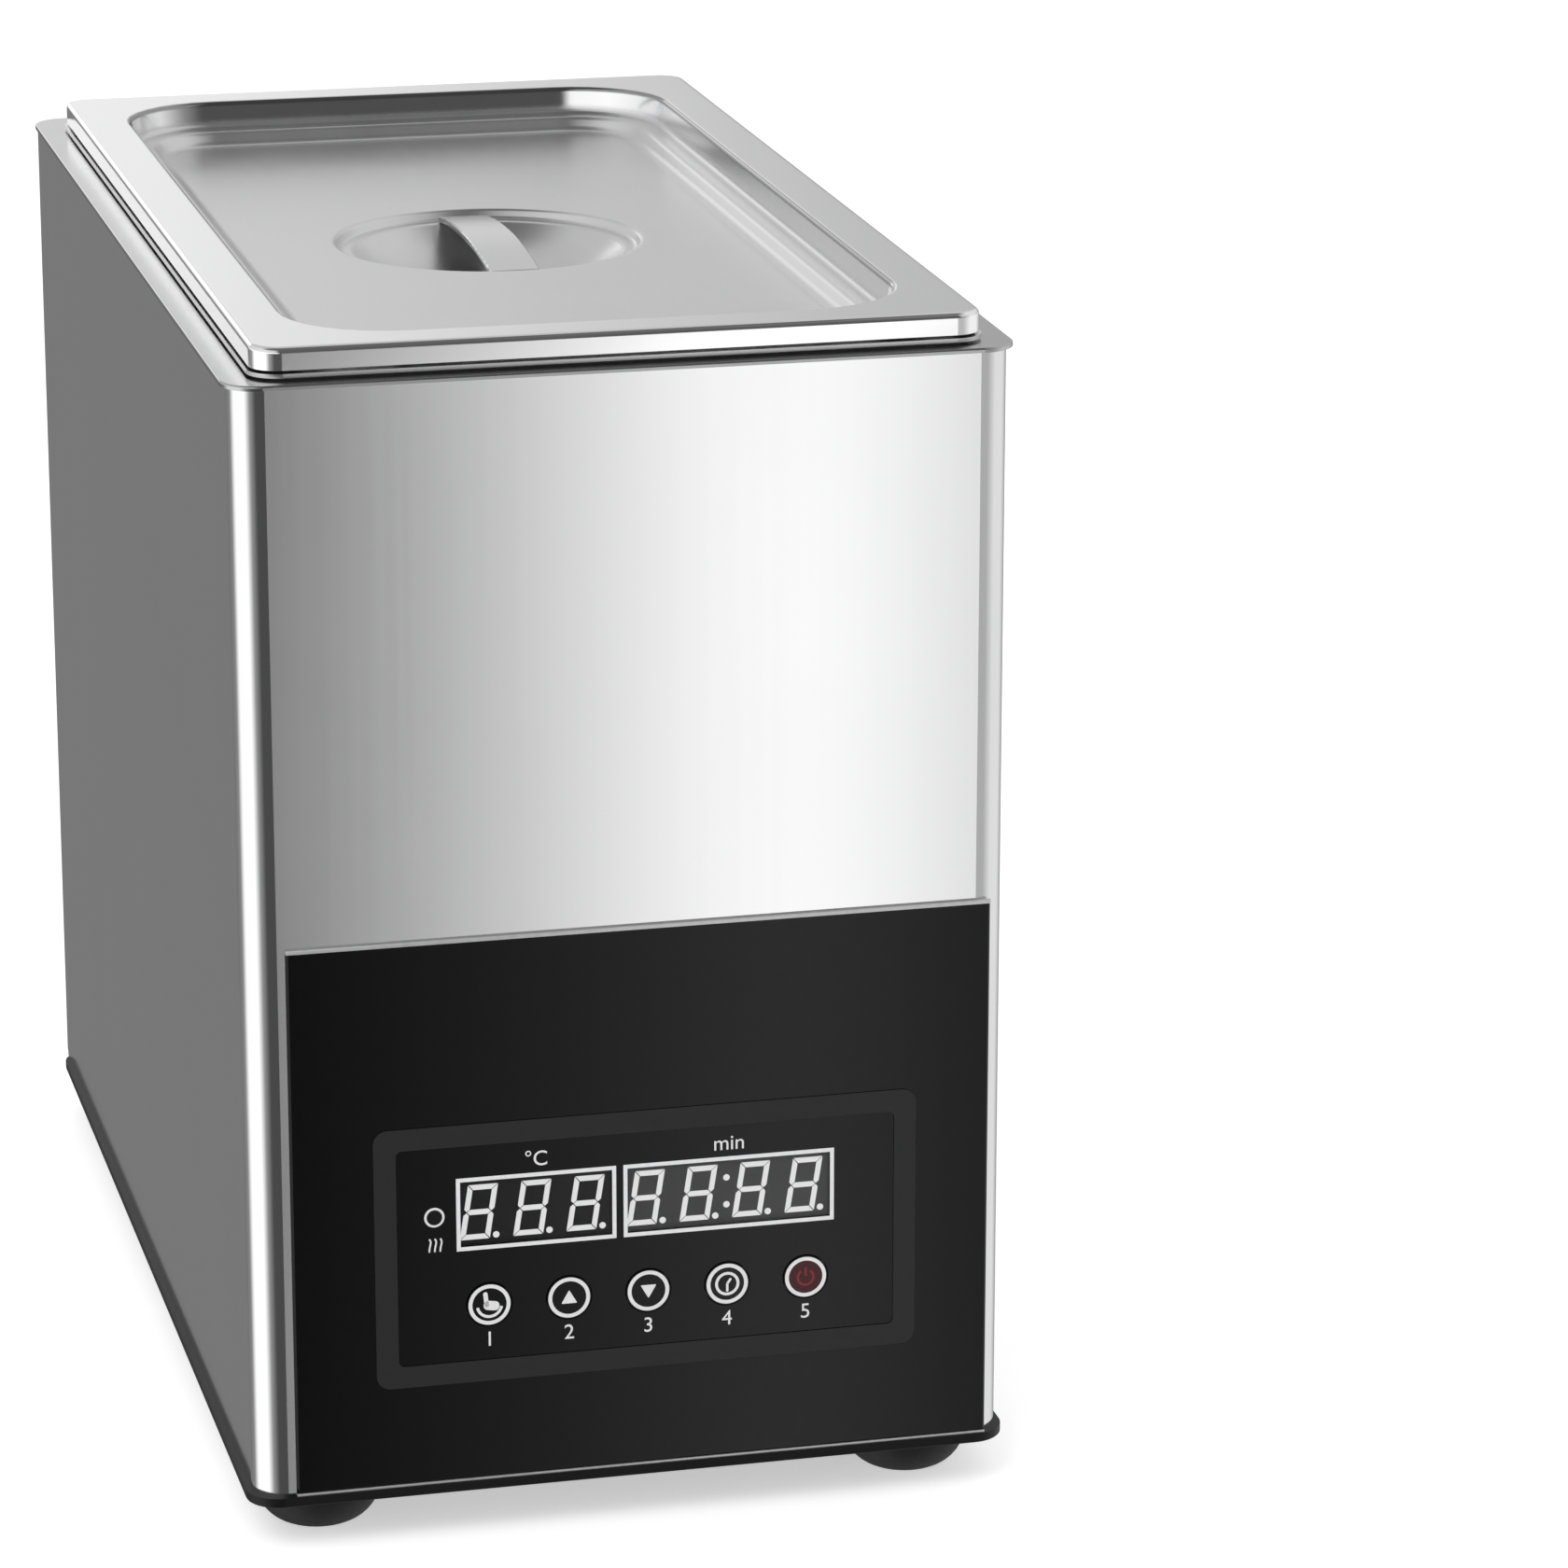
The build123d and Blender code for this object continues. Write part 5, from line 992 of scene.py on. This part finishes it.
class COOKER_OT_edging(bpy.types.Operator):
    """Fit the bright edging over the panel's top edge, and the casing's hem under the panel"""

    bl_idname = "cooker.edging"
    bl_label = "Edging"

    def execute(self, context):
        sizes = context.scene.cooker_sizes
        lift = sizes.print_lift
        edging = slim_bar(
            "panel_top_line",
            Vector((PANEL_LOW.x - lift, PANEL_LOW.y - lift, PANEL_HIGH.z - sizes.edge_line)),
            Vector((PANEL_HIGH.x + lift, PANEL_HIGH.y, PANEL_HIGH.z + lift)),
        )
        dress(edging, materials["edge"], "casing")
        hem = slim_bar(
            "casing_hem",
            Vector((PANEL_LOW.x, PANEL_LOW.y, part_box("base_plate")[1].z)),
            Vector((PANEL_HIGH.x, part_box("casing_wrap")[0].y, PANEL_LOW.z)),
        )
        dress(hem, materials["edge"], "casing")
        return {"FINISHED"}


def key_front(key):
    """A key's middle across and up, in millimetres, and the plane of its front, in metres."""
    place = middle_of(key) / MM
    return place.x, place.z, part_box(key)[0].y


def key_sign(key, x, z, face):
    """The plain sign on a key: a pointing hand, a triangle, a clock face or the power sign."""
    outline, clock_hand, power_line = 0.7, 0.6, 0.65
    triangle, triangle_shift = 2.3, 0.35
    if key == "key_set":
        finger = print_bar(x - 0.85, z + 1.35, 1.1, 3.9, face, turn=-6)
        palm = print_bar(x + 0.5, z - 0.3, 3.9, 2.4, face, turn=8)
        wrist = print_ring(x, z - 0.1, 3.35, outline, face, gap=200)
        return [finger, palm, wrist]
    if key == "key_up":
        return [print_triangle(x, z - triangle_shift, triangle, face)]
    if key == "key_down":
        return [print_triangle(x, z + triangle_shift, triangle, face, turn=180)]
    if key == "key_timer":
        clock = print_ring(x, z, 3.05, outline, face)
        long_hand = print_bar(x, z - 0.95, clock_hand, 2.3, face)
        short_hand = print_bar(x + 0.45, z + 0.65, clock_hand, 1.7, face, turn=35)
        return [clock, long_hand, short_hand]
    arc = print_ring(x, z - 0.1, 2.3, power_line, face, gap=70)
    stroke = print_bar(x, z + 1.35, power_line, 2.4, face)
    return [arc, stroke]


class COOKER_OT_key_print(bpy.types.Operator):
    """Print each key's ring and its plain sign"""

    bl_idname = "cooker.key_print"
    bl_label = "Key print"

    def execute(self, context):
        sizes = context.scene.cooker_sizes
        radius, line, disc_gap = sizes.key_ring / MM, 0.95, 1.0
        for key in KEYS:
            x, z, face = key_front(key)
            marks = [print_ring(x, z, radius, line, face)]
            if key != "key_power":
                marks += key_sign(key, x, z, face)
            piece = press_print(key + "_print", marks, sizes.print_lift)
            dress(piece, materials["ink"], key + "_cap")

        # The power key's disc and sign are red, so they are pieces of their own
        x, z, face = key_front("key_power")
        disc = print_disc(x, z, radius - disc_gap, face)
        piece = press_print("key_power_disc", [disc], sizes.print_lift / 2)
        dress(piece, materials["power"], "key_power_cap")
        piece = press_print("key_power_sign", key_sign("key_power", x, z, face), sizes.print_lift)
        dress(piece, materials["power_sign"], "key_power_cap")
        return {"FINISHED"}


# The screws


def cross_screw(length):
    """A pan head screw with a cross recess. Its head looks up and starts at the origin."""
    rounding = 0.5 * SCREW_RISE
    arm_length, arm_width = 1.15 * SCREW_HEAD, 0.24 * SCREW_HEAD
    deselect()
    bpy.ops.mesh.primitive_cylinder_add(
        vertices=40, radius=SCREW_HEAD, depth=SCREW_RISE, location=(0, 0, SCREW_RISE / 2)
    )
    screw = new_piece("cross_screw")
    bake_place(screw)
    edit(screw)
    pick_faces(screw, lambda centre, normal: normal.z < -0.9)
    bpy.ops.mesh.inset(thickness=SCREW_HEAD - SCREW_SHANK)
    bpy.ops.mesh.extrude_region_move(TRANSFORM_OT_translate={"value": (0, 0, SCREW_RISE - length)})
    pick_faces(screw, lambda centre, normal: normal.z > 0.9 and centre.z > SCREW_RISE / 2)
    bpy.ops.mesh.bevel(offset=rounding, segments=4, affect="EDGES")
    for turn in (0, UPRIGHT):
        deselect()
        bpy.ops.mesh.primitive_cube_add(size=1, location=(0, 0, SCREW_RISE), rotation=(0, 0, turn))
        cutter = new_piece("cross_arm")
        cutter.scale = (arm_length, arm_width, SCREW_RISE)
        bake_place(cutter)
        cut = screw.modifiers.new("recess", "BOOLEAN")
        cut.operation = "DIFFERENCE"
        cut.solver = "EXACT"
        cut.object = cutter
        apply_modifiers(screw)
        remove(cutter)
    smooth(screw, 40)
    return screw


def place_screw(pattern, place, turn):
    """A copy of the pattern screw, turned about the cooker's width and put in its place."""
    make_active(pattern)
    bpy.ops.object.duplicate()
    screw = bpy.context.object
    screw.rotation_euler = (turn, 0, 0)
    screw.location = place
    bake_place(screw)
    return screw


class COOKER_OT_screws(bpy.types.Operator):
    """Model the cross head screws of the back, the base and the feet"""

    bl_idname = "cooker.screws"
    bl_label = "Screws"

    def execute(self, context):
        for node, axis, high_end, rows in SCREWS:
            low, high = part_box(node)
            start, end = getattr(low, axis), getattr(high, axis)
            head_at = end - SCREW_RISE if high_end else start + SCREW_RISE
            row_axis = "z" if axis == "y" else "y"
            first = getattr(low, row_axis) + SCREW_HEAD
            last = getattr(high, row_axis) - SCREW_HEAD
            pattern = cross_screw(end - start)
            copies = []
            for side in (low.x + SCREW_HEAD, high.x - SCREW_HEAD):
                for row in range(rows):
                    along = first + (last - first) * row / (rows - 1)
                    if axis == "y":
                        copies.append(place_screw(pattern, (side, head_at, along), -UPRIGHT))
                    else:
                        copies.append(place_screw(pattern, (side, along, head_at), math.pi))
            remove(pattern)
            piece = make_active(*copies)
            bpy.ops.object.join()
            rename(piece, node + "_crossed")
            dress(piece, materials["zinc"], "casing")
            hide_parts(node)
        return {"FINISHED"}


# The studio. Polished metal sees soft panels all round, as (degrees round from straight ahead of the
# front, brightness). LOW_LIGHT lies below the horizon, HIGH_LIGHT just above it, UPPER_LIGHT higher up
# and OVERHEAD at the top. The narrow rise from 9 to 16 degrees is a tall soft box in front
LOW_LIGHT = (
    (-180, 0.21), (-150, 0.21), (-125, 0.3), (-105, 1.25), (-60, 1.3), (-42, 0.35), (-22, 0.08), (7, 0.08),
    (8.8, 0.12), (9.8, 0.33), (11, 0.56), (12, 0.84), (13, 1.2), (13.8, 1.75), (14.8, 1.75), (15.6, 0.95),
    (17, 0.5), (40, 0.5), (70, 0.9), (110, 0.9), (150, 0.3), (180, 0.21),
)
HIGH_LIGHT = (
    (-180, 1.0), (-177, 1.1), (-175.5, 1.6), (-169, 1.6), (-166.5, 0.8), (-150, 0.7), (-120, 1.0),
    (-60, 1.25), (-10, 1.2), (0, 0.08), (22, 0.08), (45, 0.3), (80, 0.9), (120, 0.6), (160, 0.5),
    (165, 0.56), (168, 0.72), (170.5, 0.92), (172, 1.0), (180, 1.0),
)
UPPER_LIGHT = (
    (-180, 0.6), (-75, 0.8), (-20, 0.6), (-4, 0.1), (26, 0.1), (40, 0.55), (80, 0.75), (130, 0.75),
    (180, 0.6),
)
OVERHEAD = 0.12

# Where each of them gives way to the next one up, as sines of the angle above the horizon
HORIZON, SHOULDER, CROWN = (-0.06, 0.1), (0.225, 0.34), (0.8, 0.96)

CAMERA_PLACE = (-0.3114, -1.60945, 0.6211)
LIGHT_PLACE = (-1.1, -1.3, 1.9)
LIGHT_AIM = (0, 0, 0.15)
LIGHT_SIZE = (1.4, 1.0)


def azimuth_ramp(tree, turn, stops):
    """Brightness by direction round the object."""
    ramp = tree.nodes.new("ShaderNodeValToRGB")
    ramp.color_ramp.interpolation = "LINEAR"
    ramp.color_ramp.elements.remove(ramp.color_ramp.elements[1])
    for number, (degrees, bright) in enumerate(stops):
        place = (degrees + 180) / 360
        if number:
            stop = ramp.color_ramp.elements.new(place)
        else:
            stop = ramp.color_ramp.elements[0]
            stop.position = place
        stop.color = (bright, bright, bright, 1)
    tree.links.new(turn, ramp.inputs["Fac"])
    return ramp.outputs["Color"]


def background(tree, colour, strength=1.0):
    """A background shader of a plain colour or of one that an output gives."""
    node = tree.nodes.new("ShaderNodeBackground")
    node.inputs["Strength"].default_value = strength
    if isinstance(colour, tuple):
        node.inputs["Color"].default_value = colour
    else:
        tree.links.new(colour, node.inputs["Color"])
    return node.outputs["Background"]


def pick_shader(tree, share, low, high):
    """Mixes two shaders."""
    node = tree.nodes.new("ShaderNodeMixShader")
    tree.links.new(share, node.inputs["Fac"])
    tree.links.new(low, node.inputs[1])
    tree.links.new(high, node.inputs[2])
    return node.outputs["Shader"]


def light_world(world, ambient):
    """White for the camera, even light for matt surfaces and a studio of soft panels for gloss."""
    world.use_nodes = True
    tree = world.node_tree
    tree.nodes.clear()
    output = tree.nodes.new("ShaderNodeOutputWorld")
    ways = tree.nodes.new("ShaderNodeLightPath")
    place = tree.nodes.new("ShaderNodeTexCoord")
    parts = tree.nodes.new("ShaderNodeSeparateXYZ")
    tree.links.new(place.outputs["Generated"], parts.inputs["Vector"])
    turn = math_node(tree, "ARCTAN2", parts.outputs["X"], multiply(tree, parts.outputs["Y"], -1.0))
    share = tree.nodes.new("ShaderNodeMapRange")
    share.inputs["From Min"].default_value = -math.pi
    share.inputs["From Max"].default_value = math.pi
    tree.links.new(turn, share.inputs["Value"])

    height = parts.outputs["Z"]
    low, high, upper = (
        azimuth_ramp(tree, share.outputs["Result"], stops) for stops in (LOW_LIGHT, HIGH_LIGHT, UPPER_LIGHT)
    )
    gloss = blend(tree, rising(tree, height, *HORIZON), low, high)
    gloss = blend(tree, rising(tree, height, *SHOULDER), gloss, upper)
    gloss = blend(tree, rising(tree, height, *CROWN), gloss, OVERHEAD)

    even = background(tree, WHITE, ambient)
    lit = pick_shader(tree, ways.outputs["Is Glossy Ray"], even, background(tree, gloss))
    seen = math_node(tree, "MAXIMUM", ways.outputs["Is Camera Ray"], ways.outputs["Is Transmission Ray"])
    whole = pick_shader(tree, seen, lit, background(tree, WHITE))
    tree.links.new(whole, output.inputs["Surface"])


def floor_material(lift):
    """A pale matt floor that the camera sees as white, still with the object's shadow."""
    material, tree, shader = fresh_material("studio_floor")
    shader.inputs["Base Color"].default_value = (0.92, 0.92, 0.92, 1)
    shader.inputs["Roughness"].default_value = 0.9
    shader.inputs["Specular IOR Level"].default_value = 0.0
    shader.inputs["Emission Color"].default_value = WHITE
    ways = tree.nodes.new("ShaderNodeLightPath")
    glow = multiply(tree, ways.outputs["Is Camera Ray"], lift)
    tree.links.new(glow, shader.inputs["Emission Strength"])
    return material


class COOKER_OT_stage(bpy.types.Operator):
    """Set the floor, the soft light and the camera"""

    bl_idname = "cooker.stage"
    bl_label = "Studio"

    def execute(self, context):
        studio = context.scene.cooker_studio
        deselect()
        bpy.ops.mesh.primitive_plane_add(size=studio.floor_size, location=(0, 0, 0))
        floor = new_piece("studio_floor")
        floor.data.materials.append(floor_material(studio.floor_lift))
        floor.visible_glossy = False

        world = bpy.data.worlds.new("studio")
        context.scene.world = world
        light_world(world, studio.ambient)

        bpy.ops.object.light_add(type="AREA", location=LIGHT_PLACE)
        light = bpy.context.object
        light.name = "key_light"
        light.data.shape = "RECTANGLE"
        light.data.size, light.data.size_y = LIGHT_SIZE
        light.data.energy = studio.key_power
        aim = Vector(LIGHT_AIM) - light.location
        light.rotation_euler = aim.to_track_quat("-Z", "Y").to_euler()
        light.visible_glossy = False

        turn = Euler((UPRIGHT - studio.pitch, 0, -studio.yaw)).to_matrix()
        turn = turn @ Matrix.Rotation(studio.roll, 3, "Z")
        bpy.ops.object.camera_add(location=CAMERA_PLACE, rotation=turn.to_euler())
        camera = bpy.context.object
        camera.name = "photo_camera"
        camera.data.lens = studio.lens
        camera.data.sensor_width = 36.0
        camera.data.clip_start = 0.05
        context.scene.camera = camera
        context.scene.view_settings.view_transform = "Standard"
        return {"FINISHED"}


class COOKER_PT_pieces(bpy.types.Panel):
    """Lists the pieces and their settings"""

    bl_label = "Egg cooker"
    bl_idname = "COOKER_PT_pieces"
    bl_space_type = "VIEW_3D"
    bl_region_type = "UI"
    bl_category = "Egg cooker"

    def draw(self, context):
        scene = context.scene
        for group in (scene.cooker_sizes, scene.cooker_colours, scene.cooker_studio):
            box = self.layout.box()
            for name in group.__annotations__:
                box.prop(group, name)
        for step in STEPS:
            self.layout.operator(step.bl_idname)


STEPS = (
    COOKER_OT_finishes, COOKER_OT_lid, COOKER_OT_panel_print, COOKER_OT_edging, COOKER_OT_key_print,
    COOKER_OT_screws, COOKER_OT_stage,
)
CLASSES = (CookerSizes, CookerColours, StudioSettings, *STEPS, COOKER_PT_pieces)


def register():
    """Adds the settings, the operators and the panel."""
    for kind in CLASSES:
        bpy.utils.register_class(kind)
    bpy.types.Scene.cooker_sizes = PointerProperty(type=CookerSizes)
    bpy.types.Scene.cooker_colours = PointerProperty(type=CookerColours)
    bpy.types.Scene.cooker_studio = PointerProperty(type=StudioSettings)


def unregister():
    """Takes them away again."""
    del bpy.types.Scene.cooker_studio
    del bpy.types.Scene.cooker_colours
    del bpy.types.Scene.cooker_sizes
    for kind in reversed(CLASSES):
        bpy.utils.unregister_class(kind)


def main():
    """Builds everything in order."""
    register()
    bpy.ops.cooker.finishes()
    bpy.ops.cooker.lid()
    bpy.ops.cooker.panel_print()
    bpy.ops.cooker.edging()
    bpy.ops.cooker.key_print()
    bpy.ops.cooker.screws()
    bpy.ops.cooker.stage()


if __name__ == "__main__":
    main()
